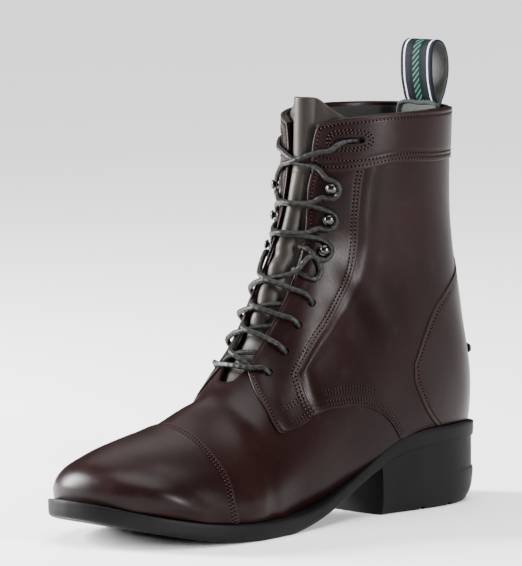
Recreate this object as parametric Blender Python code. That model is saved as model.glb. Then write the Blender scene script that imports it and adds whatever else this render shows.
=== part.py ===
"""Lace-up paddock boot for the left foot, standing empty on its heel and forefoot.

Metres. +X points to the toe, +Y to the outer side of the boot, +Z up, and the origin is on the heel's tread.
A place on the upper is a pair (turn, v): turn runs round the foot from the back (0) over the outer side (0.25)
and the ridge of the instep (0.5) to the inner side (0.75), and v runs from under the toe (0) to the collar (1).
"""
import math

import bmesh
import bpy
import numpy as np

# Driving sizes of the boot
SOLE_LENGTH = 0.272
BALL_WIDTH = 0.095
LEG_WIDTH = 0.078
INSTEP_RISE = 0.0805
LEG_RISE = 0.084
HEEL_RISE = 0.0335
TOE_SPRING = 0.015
HEEL_BACK = -0.038

# Thicknesses and fits
UPPER_WALL = 0.0022
OVERLAY = 0.0012
BED = 0.0008
SEAM = 0.0007
GAP = 0.0003
CURVED_GAP = 0.0006
FEATHER_GAP = 0.0004
TONGUE_WALL = 0.0022
TONGUE_GAP = 0.0011
INSOLE_THICK = 0.0025
INSOLE_MARGIN = 0.0008

# Sole and heel
SOLE_THICK = 0.009
HEEL_BREAST = 0.047
BREAST_SLOPE = 0.002
HEEL_STEP = 0.0175
RAND_SET = 0.0018
LUG_DEPTH = 0.0016
LUG_GROOVE = 0.003
LUG_PITCH = 0.0125
LUG_BORDER = 0.008
HEEL_NOTCHES = (0.018, -0.003)
HEEL_SHARE = 0.35
TREAD_START = 0.565
TREAD_GROOVES = 7
FLAT_SHARES = (0.600, 0.695)

# Lacing
HOLE_RADIUS = 0.0022
HOOK_RADIUS = 0.0028
HOOK_RISE = 0.0042
LACE_RADIUS = 0.0014
HOLE_ASIDE = 0.022
HOOK_ASIDE = 0.020
BAR_RISE = -0.0024
UNDER_RISE = -0.0026
OVER_RISE = -0.0004
SLOT_WIDTH = 0.0034

# Pull loop and spur rest
LOOP_WIDTH = 0.022
LOOP_THICK = 0.0015
LOOP_RISE = 0.034
PATCH_WIDTH = 0.027
PATCH_THICK = 0.0014
PATCH_DROP = 0.026
SPUR_HEIGHT = 0.0045
SPUR_PROUD = 0.0025
SPUR_OVER_SEAT = 0.0365
SPUR_HALF = 0.105

# Foot bed under the upper: share of the length, shares of the heel's rise and of the toe spring, sole thickness
BED_LINE = np.array([
    (-0.007, 0.94, 0.00, 0.94),
    (0.000, 0.95, 0.00, 0.94),
    (0.140, 1.00, 0.00, 0.94),
    (0.213, 0.97, 0.00, 0.92),
    (0.287, 0.82, 0.00, 0.86),
    (0.360, 0.525, 0.00, 0.78),
    (0.434, 0.255, 0.00, 0.78),
    (0.507, 0.075, 0.00, 0.84),
    (0.600, 0.00, 0.00, 1.02),
    (0.691, 0.00, 0.01, 1.02),
    (0.783, 0.00, 0.12, 1.00),
    (0.875, 0.00, 0.40, 0.98),
    (1.000, 0.00, 1.00, 0.97),
    (1.050, 0.00, 1.28, 0.97),
])

# Ridge and back of the upper: v, ridge place, share of the instep's rise, share of the leg's rise,
# back place, share of both rises together, shift of the ridge to the inner side
PROFILE = np.array([
    (0.00, 0.919, -0.097, 0.000, 0.919, -0.047, -0.084),
    (0.04, 0.963, -0.076, 0.000, 0.860, -0.068, -0.084),
    (0.10, 0.978, 0.072, 0.000, 0.794, -0.068, -0.074),
    (0.16, 0.956, 0.223, 0.000, 0.757, -0.074, -0.063),
    (0.22, 0.897, 0.362, 0.000, 0.728, -0.077, -0.063),
    (0.29, 0.824, 0.474, 0.000, 0.699, -0.075, -0.063),
    (0.36, 0.739, 0.574, 0.000, 0.665, -0.073, -0.063),
    (0.43, 0.658, 0.703, 0.000, 0.618, -0.086, -0.053),
    (0.50, 0.588, 0.778, 0.000, 0.544, -0.149, -0.042),
    (0.56, 0.537, 0.846, 0.000, 0.441, -0.206, -0.021),
    (0.62, 0.500, 1.000, 0.000, 0.305, -0.199, -0.011),
    (0.68, 0.474, 1.000, 0.190, 0.158, -0.157, 0.000),
    (0.74, 0.456, 1.000, 0.333, 0.052, -0.094, 0.000),
    (0.79, 0.445, 1.000, 0.440, 0.004, 0.082, 0.000),
    (0.84, 0.438, 1.000, 0.536, 0.026, 0.307, 0.000),
    (0.90, 0.430, 1.000, 0.631, 0.059, 0.623, 0.000),
    (0.95, 0.426, 1.000, 0.690, 0.066, 0.836, 0.000),
    (1.00, 0.423, 1.000, 1.000, 0.066, 1.000, 0.000),
    (1.10, 0.426, 1.000, 1.619, 0.066, 1.316, 0.000),
])

# Sections of the upper: v, outer and inner half widths as shares of the girth, place of the widest line,
# roundness of the front and of the back
SECTIONS = np.array([
    (0.00, 0.000, 0.000, 0.50, 2.00, 2.00),
    (0.04, 0.253, 0.211, 0.50, 2.00, 2.00),
    (0.10, 0.405, 0.335, 0.50, 2.10, 2.80),
    (0.16, 0.495, 0.400, 0.45, 2.10, 2.80),
    (0.22, 0.532, 0.421, 0.40, 2.05, 2.80),
    (0.29, 0.558, 0.426, 0.38, 2.00, 2.80),
    (0.36, 0.558, 0.421, 0.36, 1.95, 2.80),
    (0.43, 0.505, 0.400, 0.35, 1.90, 2.80),
    (0.50, 0.468, 0.401, 0.34, 1.85, 2.80),
    (0.56, 0.463, 0.415, 0.34, 1.90, 2.80),
    (0.62, 0.462, 0.436, 0.36, 2.00, 2.80),
    (0.68, 0.449, 0.436, 0.40, 2.00, 2.80),
    (0.74, 0.449, 0.436, 0.44, 2.00, 2.70),
    (0.79, 0.449, 0.436, 0.46, 2.00, 2.40),
    (0.84, 0.462, 0.449, 0.48, 2.00, 2.20),
    (0.90, 0.474, 0.474, 0.48, 2.00, 2.10),
    (0.95, 0.487, 0.487, 0.48, 2.00, 2.10),
    (1.00, 0.500, 0.500, 0.48, 2.00, 2.10),
    (1.10, 0.500, 0.500, 0.48, 2.00, 2.10),
])

# Outline of the sole from the back of the heel to the toe: share of the length, outer and inner edge
# as shares of the ball's width
SOLE_OUTLINE = np.array([
    (0.000, 0.000, 0.000),
    (0.009, 0.137, -0.137),
    (0.037, 0.263, -0.258),
    (0.103, 0.342, -0.332),
    (0.195, 0.358, -0.337),
    (0.305, 0.342, -0.295),
    (0.415, 0.363, -0.274),
    (0.526, 0.421, -0.326),
    (0.618, 0.474, -0.421),
    (0.699, 0.500, -0.484),
    (0.772, 0.484, -0.500),
    (0.846, 0.426, -0.474),
    (0.904, 0.347, -0.421),
    (0.949, 0.242, -0.347),
    (0.978, 0.137, -0.274),
    (0.994, 0.032, -0.179),
    (1.000, -0.074, -0.074),
])

# Side of the sole: depth under its top as a share of the thickness, inset in metres
SOLE_SIDE = (
    (0.00, 0.0010),
    (0.08, 0.0002),
    (0.36, 0.0000),
    (0.42, 0.0008),
    (0.52, 0.0008),
    (0.58, 0.0000),
    (0.90, 0.0004),
    (1.00, 0.0016),
)

# Side of the heel: height as a share of the step's height, inset of the sides, inset of the back
HEEL_SIDE = (
    (1.06, 0.0018, 0.0018),
    (1.00, 0.0002, 0.0002),
    (0.56, 0.0005, 0.0008),
    (0.27, 0.0012, 0.0030),
    (0.09, 0.0020, 0.0062),
    (0.00, 0.0028, 0.0095),
)

# Seams on the outer side as (turn, v); the inner side mirrors them
CAP_SEAM = ((0.260, 0.280), (0.316, 0.311), (0.375, 0.331), (0.426, 0.345), (0.472, 0.354), (0.500, 0.358))
CAP_FOOT = 0.273
TAB_FRONT = ((0.315, 0.503), (0.330, 0.487), (0.364, 0.482), (0.412, 0.484), (0.461, 0.504))
LACE_EDGE = ((0.461, 0.504), (0.457, 0.548), (0.447, 0.591), (0.441, 0.640), (0.448, 0.717), (0.458, 0.800),
             (0.463, 0.870), (0.461, 0.936))
WING_SEAM = ((0.307, 0.552), (0.298, 0.578), (0.285, 0.602), (0.269, 0.634), (0.262, 0.665), (0.257, 0.695),
             (0.254, 0.720))
COUNTER_FOOT = ((0.163, 0.706), (0.190, 0.701), (0.220, 0.703))
COUNTER_NOSE = ((0.220, 0.703), (0.241, 0.708), (0.254, 0.720))
COUNTER_TOP = ((0.254, 0.720), (0.256, 0.740), (0.249, 0.771), (0.223, 0.811), (0.182, 0.843), (0.120, 0.868),
               (0.060, 0.886), (0.004, 0.900))
BACK_SEAM = ((0.004, 0.900), (0.026, 0.953))
STAY_FOOT = ((0.307, 0.552), (0.335, 0.549), (0.366, 0.553))
STAY_SEAM = ((0.366, 0.553), (0.371, 0.602), (0.377, 0.655), (0.382, 0.714), (0.383, 0.790), (0.376, 0.867),
             (0.373, 0.946))
TAB_END = ((0.307, 0.552), (0.315, 0.503))
CUFF_BACK = ((0.026, 0.953), (0.045, 1.000))
CUFF_LINE = ((0.026, 0.953), (0.200, 0.953), (0.327, 0.952), (0.373, 0.946), (0.461, 0.936))
COLLAR_LINE = ((0.045, 1.000), (0.200, 1.000), (0.277, 1.000), (0.355, 0.997), (0.417, 0.994), (0.452, 0.990))
CUFF_FRONT = ((0.461, 0.936), (0.463, 0.955), (0.462, 0.975), (0.452, 0.990))
GORE_HALF_TOP = 0.045
GORE_HALF_LOW = 0.004
GORE_LOW = 0.900

# Opening of the upper and the columns of its wall: share of the feather line from heel to toe, turn and v
# on the rim, number of columns up to here from the row before
RIM_COLUMNS = (
    (0.00, 0.000, 1.000, 0),
    (0.13, 0.110, 1.000, 5),
    (0.25, 0.220, 1.000, 4),
    (0.36, 0.330, 0.998, 3),
    (0.44, 0.410, 0.994, 3),
    (0.48, 0.453, 0.989, 2),
    (0.53, 0.457, 0.850, 2),
    (0.59, 0.446, 0.690, 2),
    (0.64, 0.445, 0.600, 2),
    (0.70, 0.463, 0.500, 3),
    (0.80, 0.478, 0.478, 3),
    (0.90, 0.490, 0.474, 4),
    (1.00, 0.500, 0.473, 4),
)
WALL_ROWS = 12
ROW_LEAN = 1.3

# Lacing places on the outer side as (turn, v), from the bottom up
LACE_HOLES = ((0.416, 0.518), (0.407, 0.554), (0.403, 0.592), (0.399, 0.634))
LACE_HOOKS = ((0.413, 0.726), (0.415, 0.796), (0.415, 0.874))
LACE_SLOT = ((0.413, 0.976), (0.367, 0.977))

# Tongue: half spread as turn, its lower end and its top from the middle to the side
TONGUE_SPREAD = (0.0, 0.017, 0.034, 0.060, 0.085, 0.110)
TONGUE_LOW = 0.455
TONGUE_TOP = ((0.0, 1.0140), (0.034, 1.0125), (0.065, 1.004), (0.110, 0.992))
TONGUE_BULGE = 0.0026

# Pull loop, from the leg at the wall over the top to the leg in front: x from the wall, share of the rise
LOOP_PATH = (
    (0.0000, -0.50),
    (0.0000, 0.00),
    (-0.0030, 0.22),
    (-0.0055, 0.50),
    (-0.0050, 0.76),
    (-0.0022, 0.94),
    (0.0015, 1.00),
    (0.0052, 0.94),
    (0.0068, 0.78),
    (0.0066, 0.45),
    (0.0045, 0.18),
    (0.0026, 0.00),
    (0.0026, -0.50),
)


def through(knots, values, at):
    """Smooth curve through the knots, straight on at both ends."""
    k = np.asarray(knots, float)
    y = np.asarray(values, float)
    at = np.clip(np.asarray(at, float), k[0], k[-1])
    step = np.diff(k)
    wide = step if y.ndim == 1 else step[:, None]
    rise = np.diff(y, axis=0) / wide
    slope = np.empty_like(y)
    slope[1:-1] = (rise[:-1] * wide[1:] + rise[1:] * wide[:-1]) / (wide[:-1] + wide[1:])
    slope[0] = 1.5 * rise[0] - 0.5 * slope[1]
    slope[-1] = 1.5 * rise[-1] - 0.5 * slope[-2]
    i = np.clip(np.searchsorted(k, at, side="right") - 1, 0, len(k) - 2)
    h = step[i]
    t = (at - k[i]) / h
    if y.ndim > 1:
        h = h[..., None]
        t = t[..., None]
    keep = (2 * t**3 - 3 * t**2 + 1) * y[i] + (3 * t**2 - 2 * t**3) * y[i + 1]
    lean = (t**3 - 2 * t**2 + t) * h * slope[i] + (t**3 - t**2) * h * slope[i + 1]
    return keep + lean


def place(share):
    """Place along the boot for a share of the sole's length."""
    return HEEL_BACK + SOLE_LENGTH * share


def share_of(x):
    return (x - HEEL_BACK) / SOLE_LENGTH


def seat(x):
    """Height of the foot bed, which is the top of the sole."""
    heel = through(BED_LINE[:, 0], BED_LINE[:, 1], share_of(x))
    spring = through(BED_LINE[:, 0], BED_LINE[:, 2], share_of(x))
    return SOLE_THICK + HEEL_RISE * heel + TOE_SPRING * np.maximum(spring, 0.0)


def underside(x):
    """Height of the sole's lower face; flat on the floor under the ball."""
    thick = SOLE_THICK * through(BED_LINE[:, 0], BED_LINE[:, 3], share_of(x))
    return np.maximum(seat(x) - thick, 0.0)


def leg_share(v):
    """From the foot (0) to the leg (1)."""
    t = np.clip((v - 0.43) / 0.19, 0.0, 1.0)
    return t * t * (3 - 2 * t)


def lift(x, v):
    """Height of the boot's bed under a point: the leg is lifted by the whole heel."""
    heel = through(BED_LINE[:, 0], BED_LINE[:, 1], share_of(x))
    spring = through(BED_LINE[:, 0], BED_LINE[:, 2], share_of(x))
    leg = leg_share(v)
    return SOLE_THICK + HEEL_RISE * (heel * (1 - leg) + leg) + TOE_SPRING * spring


def form(turn, v):
    """Outer face of the boot's upper."""
    turn, v = np.broadcast_arrays(np.asarray(turn, float), np.asarray(v, float))
    row = through(PROFILE[:, 0], PROFILE[:, 1:], v)
    ridge_x = place(row[..., 0])
    ridge_z = INSTEP_RISE * row[..., 1] + LEG_RISE * row[..., 2] + lift(ridge_x, v)
    back_x = place(row[..., 3])
    back_z = (INSTEP_RISE + LEG_RISE) * row[..., 4] + lift(back_x, v)
    ridge_y = BALL_WIDTH * row[..., 5]
    cut = through(SECTIONS[:, 0], SECTIONS[:, 1:], v)
    girth = BALL_WIDTH * (1 - leg_share(v)) + LEG_WIDTH * leg_share(v)
    angle = 2 * math.pi * turn
    co = np.cos(angle)
    si = np.sin(angle)
    power = np.where(co > 0, cut[..., 4], cut[..., 3])
    reach = (np.abs(co) ** power + np.abs(si) ** power) ** (-1 / power)
    along = -reach * co
    widest = cut[..., 2]
    share = np.where(along < 0, widest + widest * along, widest + (1 - widest) * along)
    half = girth * np.where(si > 0, cut[..., 0], cut[..., 1])
    x = back_x + (ridge_x - back_x) * share
    y = ridge_y + half * reach * si
    z = back_z + (ridge_z - back_z) * share
    return np.stack([x, y, z], -1)


def outward(turn, v):
    """Unit normal of the form."""
    d = 1e-4
    along = form(turn + d, v) - form(turn - d, v)
    up = form(turn, v + d) - form(turn, v - d)
    out = np.cross(up, along)
    return out / np.linalg.norm(out, axis=-1, keepdims=True)


def skin(turn, v, depth):
    """The form moved outwards by a depth."""
    turn = np.asarray(turn, float)
    v = np.asarray(v, float)
    depth = np.asarray(depth, float)
    return form(turn, v) + outward(turn, v) * depth[..., None]


def height_over_seat(turn, v):
    point = form(turn, v)
    return point[..., 2] - seat(point[..., 0]) - FEATHER_GAP


def zero_between(low, high, value):
    """Where a value that rises from low to high crosses zero."""
    low = np.array(low, float)
    high = np.array(high, float)
    for _ in range(40):
        middle = (low + high) / 2
        below = value(middle) < 0
        low = np.where(below, middle, low)
        high = np.where(below, high, middle)
    return (low + high) / 2


def resample(points, count, path):
    """Even steps, measured in metres, along points given as (turn, v)."""
    gone = np.concatenate([[0.0], np.cumsum(np.linalg.norm(np.diff(path, axis=0), axis=1))])
    at = np.linspace(0.0, gone[-1], count)
    return np.stack([np.interp(at, gone, points[:, i]) for i in range(2)], -1)


def feather_line(side, count):
    """Lower edge of the upper on one side, from the back of the heel to the toe, as (turn, v)."""
    toe = zero_between(0.0, 0.2, lambda v: height_over_seat(np.full_like(v, 0.5), v))
    heel = zero_between(0.70, 0.85, lambda v: height_over_seat(np.zeros_like(v), v))
    v = toe + (heel - toe) * (1 + np.cos(np.linspace(0.0, math.pi, 241)[1:-1])) / 2
    turn = zero_between(np.zeros_like(v), np.full_like(v, 0.5), lambda t: height_over_seat(side * t, v))
    turn = np.concatenate([[0.0], turn, [0.5]])
    v = np.concatenate([[heel], v, [toe]])
    points = np.stack([side * turn, v], -1)
    return resample(points, count, form(points[:, 0], points[:, 1]))


def seam(table, count, side=1):
    """Even steps along a seam of the table, on the outer (1) or inner (-1) side."""
    rows = np.array(table, float)
    knots = np.concatenate([[0.0], np.cumsum(np.linalg.norm(np.diff(form(rows[:, 0], rows[:, 1]), axis=0), axis=1))])
    fine = through(knots, rows, np.linspace(0.0, knots[-1], 200))
    points = resample(fine, count, form(fine[:, 0], fine[:, 1]))
    points[:, 0] *= side
    return points


def chain(parts, side):
    """Several seams in a row as one edge; each part is a table and its number of points."""
    pieces = [seam(table, count, side) for table, count in parts]
    return np.concatenate([pieces[0]] + [piece[1:] for piece in pieces[1:]])


def coons(low, high, start, end, lean=1.0):
    """Grid of (turn, v) between four edges; start and end join low to high, and lean crowds rows to low."""
    u = np.linspace(0.0, 1.0, len(low))[None, :, None]
    w = np.linspace(0.0, 1.0, len(start))[:, None, None] ** lean
    between = (1 - w) * low[None] + w * high[None] + (1 - u) * start[:, None] + u * end[:, None]
    corners = ((1 - u) * (1 - w) * low[0] + u * (1 - w) * low[-1]
               + (1 - u) * w * high[0] + u * w * high[-1])
    return between - corners


def drawn_in(grid, margins):
    """Moves the four edges of a grid inwards, square to themselves, by margins in metres: low, high, start, end."""
    grid = grid.copy()
    rings = [(grid[0], grid[1]), (grid[-1], grid[-2]), (grid[:, 0], grid[:, 1]), (grid[:, -1], grid[:, -2])]
    d = 1e-4
    for (edge, inner), margin in zip(rings, margins):
        if margin == 0.0:
            continue
        turn = edge[:, 0]
        v = edge[:, 1]
        here = form(turn, v)
        side = np.cross(outward(turn, v), np.gradient(here, axis=0))
        side /= np.linalg.norm(side, axis=1, keepdims=True)
        side *= np.sign(np.sum(side * (form(inner[:, 0], inner[:, 1]) - here)))
        along = (form(turn + d, v) - form(turn - d, v)) / (2 * d)
        up = (form(turn, v + d) - form(turn, v - d)) / (2 * d)
        for k in range(len(edge)):
            step = np.linalg.lstsq(np.stack([along[k], up[k]], -1), side[k] * margin, rcond=None)[0]
            edge[k] += step
    return grid


def material(name, colour, roughness, metallic=0.0):
    made = bpy.data.materials.new(name)
    made.use_nodes = True
    shader = made.node_tree.nodes["Principled BSDF"]
    shader.inputs["Base Color"].default_value = (*colour, 1.0)
    shader.inputs["Roughness"].default_value = roughness
    shader.inputs["Metallic"].default_value = metallic
    return made


def add_object(name, vertices, faces, colour, smooth=True):
    """One named closed body with its own material."""
    mesh = bpy.data.meshes.new(name)
    mesh.from_pydata([tuple(float(c) for c in p) for p in vertices], [], [tuple(f) for f in faces])
    work = bmesh.new()
    work.from_mesh(mesh)
    bmesh.ops.remove_doubles(work, verts=work.verts, dist=1e-6)
    bmesh.ops.triangulate(work, faces=work.faces, quad_method="BEAUTY")
    bmesh.ops.recalc_face_normals(work, faces=work.faces)
    work.to_mesh(mesh)
    work.free()
    made = bpy.data.objects.new(name, mesh)
    bpy.context.collection.objects.link(made)
    mesh.materials.append(colour)
    if smooth:
        mesh.shade_smooth()
        mesh.set_sharp_from_angle(angle=math.radians(35))
    return made


def grid_shell(name, outer, inner, colour, closed=False):
    """Closed wall between two grids of points, open at its rims when the grid is closed round."""
    rows, columns = outer.shape[:2]
    size = rows * columns
    vertices = np.concatenate([outer.reshape(size, 3), inner.reshape(size, 3)])
    last = columns if closed else columns - 1
    faces = []
    for j in range(last):
        k = (j + 1) % columns
        for i in range(rows - 1):
            a = i * columns + j
            b = i * columns + k
            c = (i + 1) * columns + k
            d = (i + 1) * columns + j
            faces.append((a, b, c, d))
            faces.append((size + d, size + c, size + b, size + a))
        top = (rows - 1) * columns
        faces.append((size + j, size + k, k, j))
        faces.append((top + j, top + k, size + top + k, size + top + j))
    if not closed:
        for i in range(rows - 1):
            a = i * columns
            d = (i + 1) * columns
            faces.append((a, d, size + d, size + a))
            b = a + columns - 1
            c = d + columns - 1
            faces.append((size + b, size + c, c, b))
    return add_object(name, vertices, faces, colour)


def overlay(name, grid, colour, low=-OVERLAY, high=0.0):
    """Piece of leather over the upper, between two depths from the form."""
    turn = grid[..., 0]
    v = grid[..., 1]
    return grid_shell(name, skin(turn, v, np.full(turn.shape, high)), skin(turn, v, np.full(turn.shape, low)), colour)


def sole_edge(x):
    """Outer and inner edge of the sole at places x."""
    knots = np.linspace(0.0, 1.0, len(SOLE_OUTLINE))
    fine = through(knots, SOLE_OUTLINE, np.linspace(0.0, 1.0, 801))
    at = place(np.maximum.accumulate(fine[:, 0]))
    return np.interp(x, at, BALL_WIDTH * fine[:, 1]), np.interp(x, at, BALL_WIDTH * fine[:, 2])


def inset_loop(loop, margin):
    """Moves the points of a closed loop inwards."""
    before = np.roll(loop, 1, axis=0)
    after = np.roll(loop, -1, axis=0)
    first = (loop - before) / np.linalg.norm(loop - before, axis=1, keepdims=True)
    second = (after - loop) / np.linalg.norm(after - loop, axis=1, keepdims=True)
    line = first + second
    line /= np.linalg.norm(line, axis=1, keepdims=True)
    lean = np.maximum(np.sum(line * first, axis=1), 0.5)
    normal = np.stack([line[:, 1], -line[:, 0]], -1)
    return loop + normal * (margin / lean)[:, None]


def loft(name, loops, colour):
    """Closed body between loops of points, capped by rungs from one side of the loop to the other."""
    count = len(loops[0])
    vertices = np.concatenate(loops)
    faces = []
    for level in range(len(loops) - 1):
        for i in range(count):
            k = (i + 1) % count
            a = level * count
            faces.append((a + i, a + k, a + count + k, a + count + i))
    for start in (0, (len(loops) - 1) * count):
        for i in range(0, count // 2):
            ends = [start + i, start + i + 1, start + (count - i - 1), start + (count - i) % count]
            kept = list(dict.fromkeys(ends))
            if len(kept) > 2:
                faces.append(kept)
    return add_object(name, vertices, faces, colour)


def tube_points(path, radius, sides):
    """Vertices and faces of a round tube along a path."""
    path = np.asarray(path, float)
    along = np.gradient(path, axis=0)
    along /= np.linalg.norm(along, axis=1, keepdims=True)
    vertices = []
    side = np.cross(along[0], [0.0, 0.0, 1.0])
    for point, line in zip(path, along):
        side = side - line * np.dot(side, line)
        side /= np.linalg.norm(side)
        other = np.cross(line, side)
        for k in range(sides):
            angle = 2 * math.pi * k / sides
            vertices.append(point + radius * (side * math.cos(angle) + other * math.sin(angle)))
    faces = []
    for i in range(len(path) - 1):
        for k in range(sides):
            n = (k + 1) % sides
            faces.append((i * sides + k, i * sides + n, (i + 1) * sides + n, (i + 1) * sides + k))
    end = (len(path) - 1) * sides
    faces.append(tuple(range(sides))[::-1])
    faces.append(tuple(range(end, end + sides)))
    return vertices, faces


def turned(name, profile, centre, axis, colour, sides=12):
    """Body turned from a profile of (radius, height) about an axis."""
    axis = np.asarray(axis, float)
    side = np.cross(axis, [0.0, 0.0, 1.0])
    side /= np.linalg.norm(side)
    other = np.cross(axis, side)
    vertices = []
    for radius, height in profile:
        for k in range(sides):
            angle = 2 * math.pi * k / sides
            spoke = side * math.cos(angle) + other * math.sin(angle)
            vertices.append(centre + axis * height + spoke * radius)
    faces = [tuple(range(sides)), tuple(range((len(profile) - 1) * sides, len(profile) * sides))]
    for i in range(len(profile) - 1):
        for k in range(sides):
            n = (k + 1) % sides
            faces.append((i * sides + k, i * sides + n, (i + 1) * sides + n, (i + 1) * sides + k))
    return add_object(name, vertices, faces, colour)


def combine(target, tools, operation):
    """Cuts the tools out of the target, or joins them to it, and removes them."""
    for tool in tools:
        tool.hide_render = True
        tool.display_type = "WIRE"
        change = target.modifiers.new(tool.name, "BOOLEAN")
        change.operation = operation
        change.solver = "EXACT"
        change.object = tool
    graph = bpy.context.evaluated_depsgraph_get()
    result = bpy.data.meshes.new_from_object(target.evaluated_get(graph))
    target.modifiers.clear()
    target.data = result
    for tool in tools:
        bpy.data.objects.remove(tool)
    work = bmesh.new()
    work.from_mesh(result)
    bmesh.ops.dissolve_degenerate(work, edges=work.edges, dist=1e-6)
    bmesh.ops.triangulate(work, faces=work.faces)
    work.to_mesh(result)
    work.free()


def box(name, low, high, colour):
    corners = [(x, y, z) for x in (low[0], high[0]) for y in (low[1], high[1]) for z in (low[2], high[2])]
    faces = [(0, 1, 3, 2), (4, 6, 7, 5), (0, 4, 5, 1), (2, 3, 7, 6), (0, 2, 6, 4), (1, 5, 7, 3)]
    return add_object(name, corners, faces, colour, smooth=False)


def upper_grid():
    """Grid of (turn, v) over the whole wall, from the feather line to the rim, closed round the foot."""
    shares = [RIM_COLUMNS[0][0]]
    rim = [RIM_COLUMNS[0][1:3]]
    for before, row in zip(RIM_COLUMNS, RIM_COLUMNS[1:]):
        for step in range(1, row[3] + 1):
            part = step / row[3]
            shares.append(before[0] + (row[0] - before[0]) * part)
            rim.append(tuple(before[i] + (row[i] - before[i]) * part for i in (1, 2)))
    shares = np.array(shares)
    rim = np.array(rim)
    columns = []
    for side in (1, -1):
        line = feather_line(side, 401)
        foot = np.stack([np.interp(shares, np.linspace(0.0, 1.0, 401), line[:, i]) for i in range(2)], -1)
        head = rim * (side, 1.0)
        if side == -1:
            foot = foot[1:-1][::-1] + (1.0, 0.0)
            head = head[1:-1][::-1] + (1.0, 0.0)
        columns.append((foot, head))
    foot = np.concatenate([columns[0][0], columns[1][0]])
    head = np.concatenate([columns[0][1], columns[1][1]])
    t = np.linspace(0.0, 1.0, WALL_ROWS)[:, None, None] ** ROW_LEAN
    return foot[None] * (1 - t) + head[None] * t


def lace_cutters(side, colour):
    """Round cutters through the wall at the lace holes, and one for the slot in the cuff."""
    tools = []
    for turn, v in LACE_HOLES:
        centre = form(side * turn, v)
        axis = outward(side * turn, v)
        profile = ((HOLE_RADIUS, -0.008), (HOLE_RADIUS, 0.003))
        tools.append(turned("hole", profile, centre, axis, colour, sides=8))
    ends = [np.array(form(side * turn, v)) for turn, v in LACE_SLOT]
    axis = outward(side * LACE_SLOT[0][0], LACE_SLOT[0][1]) + outward(side * LACE_SLOT[1][0], LACE_SLOT[1][1])
    axis /= np.linalg.norm(axis)
    line = (ends[1] - ends[0]) / np.linalg.norm(ends[1] - ends[0])
    across = np.cross(axis, line)
    ring = []
    for end, start in ((ends[0], 90.0), (ends[1], 270.0)):
        for k in range(5):
            angle = math.radians(start + 45.0 * k)
            ring.append(end + SLOT_WIDTH / 2 * (line * math.cos(angle) + across * math.sin(angle)))
    ring = np.array(ring)
    vertices = np.concatenate([ring - axis * 0.010, ring + axis * 0.005])
    count = len(ring)
    faces = [tuple(range(count)), tuple(range(count, 2 * count))]
    faces += [(i, (i + 1) % count, count + (i + 1) % count, count + i) for i in range(count)]
    tools.append(add_object("slot", vertices, faces, colour))
    return tools


def make_upper(leather):
    grid = upper_grid()
    turn = grid[..., 0]
    v = grid[..., 1]
    outer_depth = np.full(turn.shape, -OVERLAY - BED)
    outer = skin(turn, v, outer_depth)
    inner = skin(turn, v, outer_depth - UPPER_WALL)
    upper = grid_shell("upper", outer, inner, leather, closed=True)
    combine(upper, lace_cutters(1, leather) + lace_cutters(-1, leather), "DIFFERENCE")


def make_toe_cap(leather):
    lateral = feather_line(1, 401)
    medial = feather_line(-1, 401)
    low_outer = lateral[lateral[:, 1] <= CAP_FOOT]
    low_inner = medial[medial[:, 1] <= CAP_FOOT]
    low = np.concatenate([low_outer, (low_inner + (1.0, 0.0))[::-1][1:]])
    low = resample(low, 21, form(low[:, 0], low[:, 1]))
    outer = seam(CAP_SEAM, 11)
    inner = (seam(CAP_SEAM, 11, side=-1) + (1.0, 0.0))[::-1]
    high = np.concatenate([outer, inner[1:]])
    w = np.linspace(0.0, 1.0, 8)[:, None] ** ROW_LEAN
    start = low[0] * (1 - w) + high[0] * w
    end = low[-1] * (1 - w) + high[-1] * w
    grid = drawn_in(coons(low, high, start, end, ROW_LEAN), (GAP, 0.0, 0.0, 0.0))
    overlay("toe_cap", grid, leather)


def make_side_panels(leather):
    """Eyestay with its tab, quarter and cuff of both sides."""
    half = SEAM / 2
    for side, name in ((1, "outer"), (-1, "inner")):
        seam_side = chain(((STAY_FOOT, 4), (STAY_SEAM, 13)), side)
        front = chain(((TAB_FRONT, 4), (LACE_EDGE, 13)), side)
        top = seam((CUFF_LINE[-2], CUFF_LINE[-1]), 5, side)
        stay = drawn_in(coons(seam(TAB_END, 5, side), top, seam_side, front), (0.0, half, half, 0.0))
        eyestay = overlay("eyestay_" + name, stay, leather)
        holes = lace_cutters(side, leather)
        bpy.data.objects.remove(holes.pop())
        combine(eyestay, holes, "DIFFERENCE")
        foot = chain(((WING_SEAM, 6), (COUNTER_TOP, 10)), side)
        top = seam(CUFF_LINE[:-1][::-1], 15, side)
        front = chain(((STAY_FOOT, 3), (STAY_SEAM, 9)), side)
        grid = coons(foot, top, front, seam(BACK_SEAM, 11, side))
        overlay("quarter_" + name, drawn_in(grid, (half, half, half, half)), leather)
        edges = seam(CUFF_BACK, 4, side), seam(CUFF_FRONT, 4, side)
        grid = coons(seam(CUFF_LINE, 15, side), seam(COLLAR_LINE, 15, side), *edges)
        cuff = overlay("cuff_" + name, drawn_in(grid, (half, 0.0, half, 0.0)), leather)
        tools = lace_cutters(side, leather)
        slot = tools.pop()
        for tool in tools:
            bpy.data.objects.remove(tool)
        combine(cuff, [slot], "DIFFERENCE")


def both_sides(table, count):
    """Seam from the inner side over the back to the outer side."""
    outer = seam(table, count)
    inner = seam(table, count, side=-1)
    return np.concatenate([inner, outer[::-1][1:]])


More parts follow.
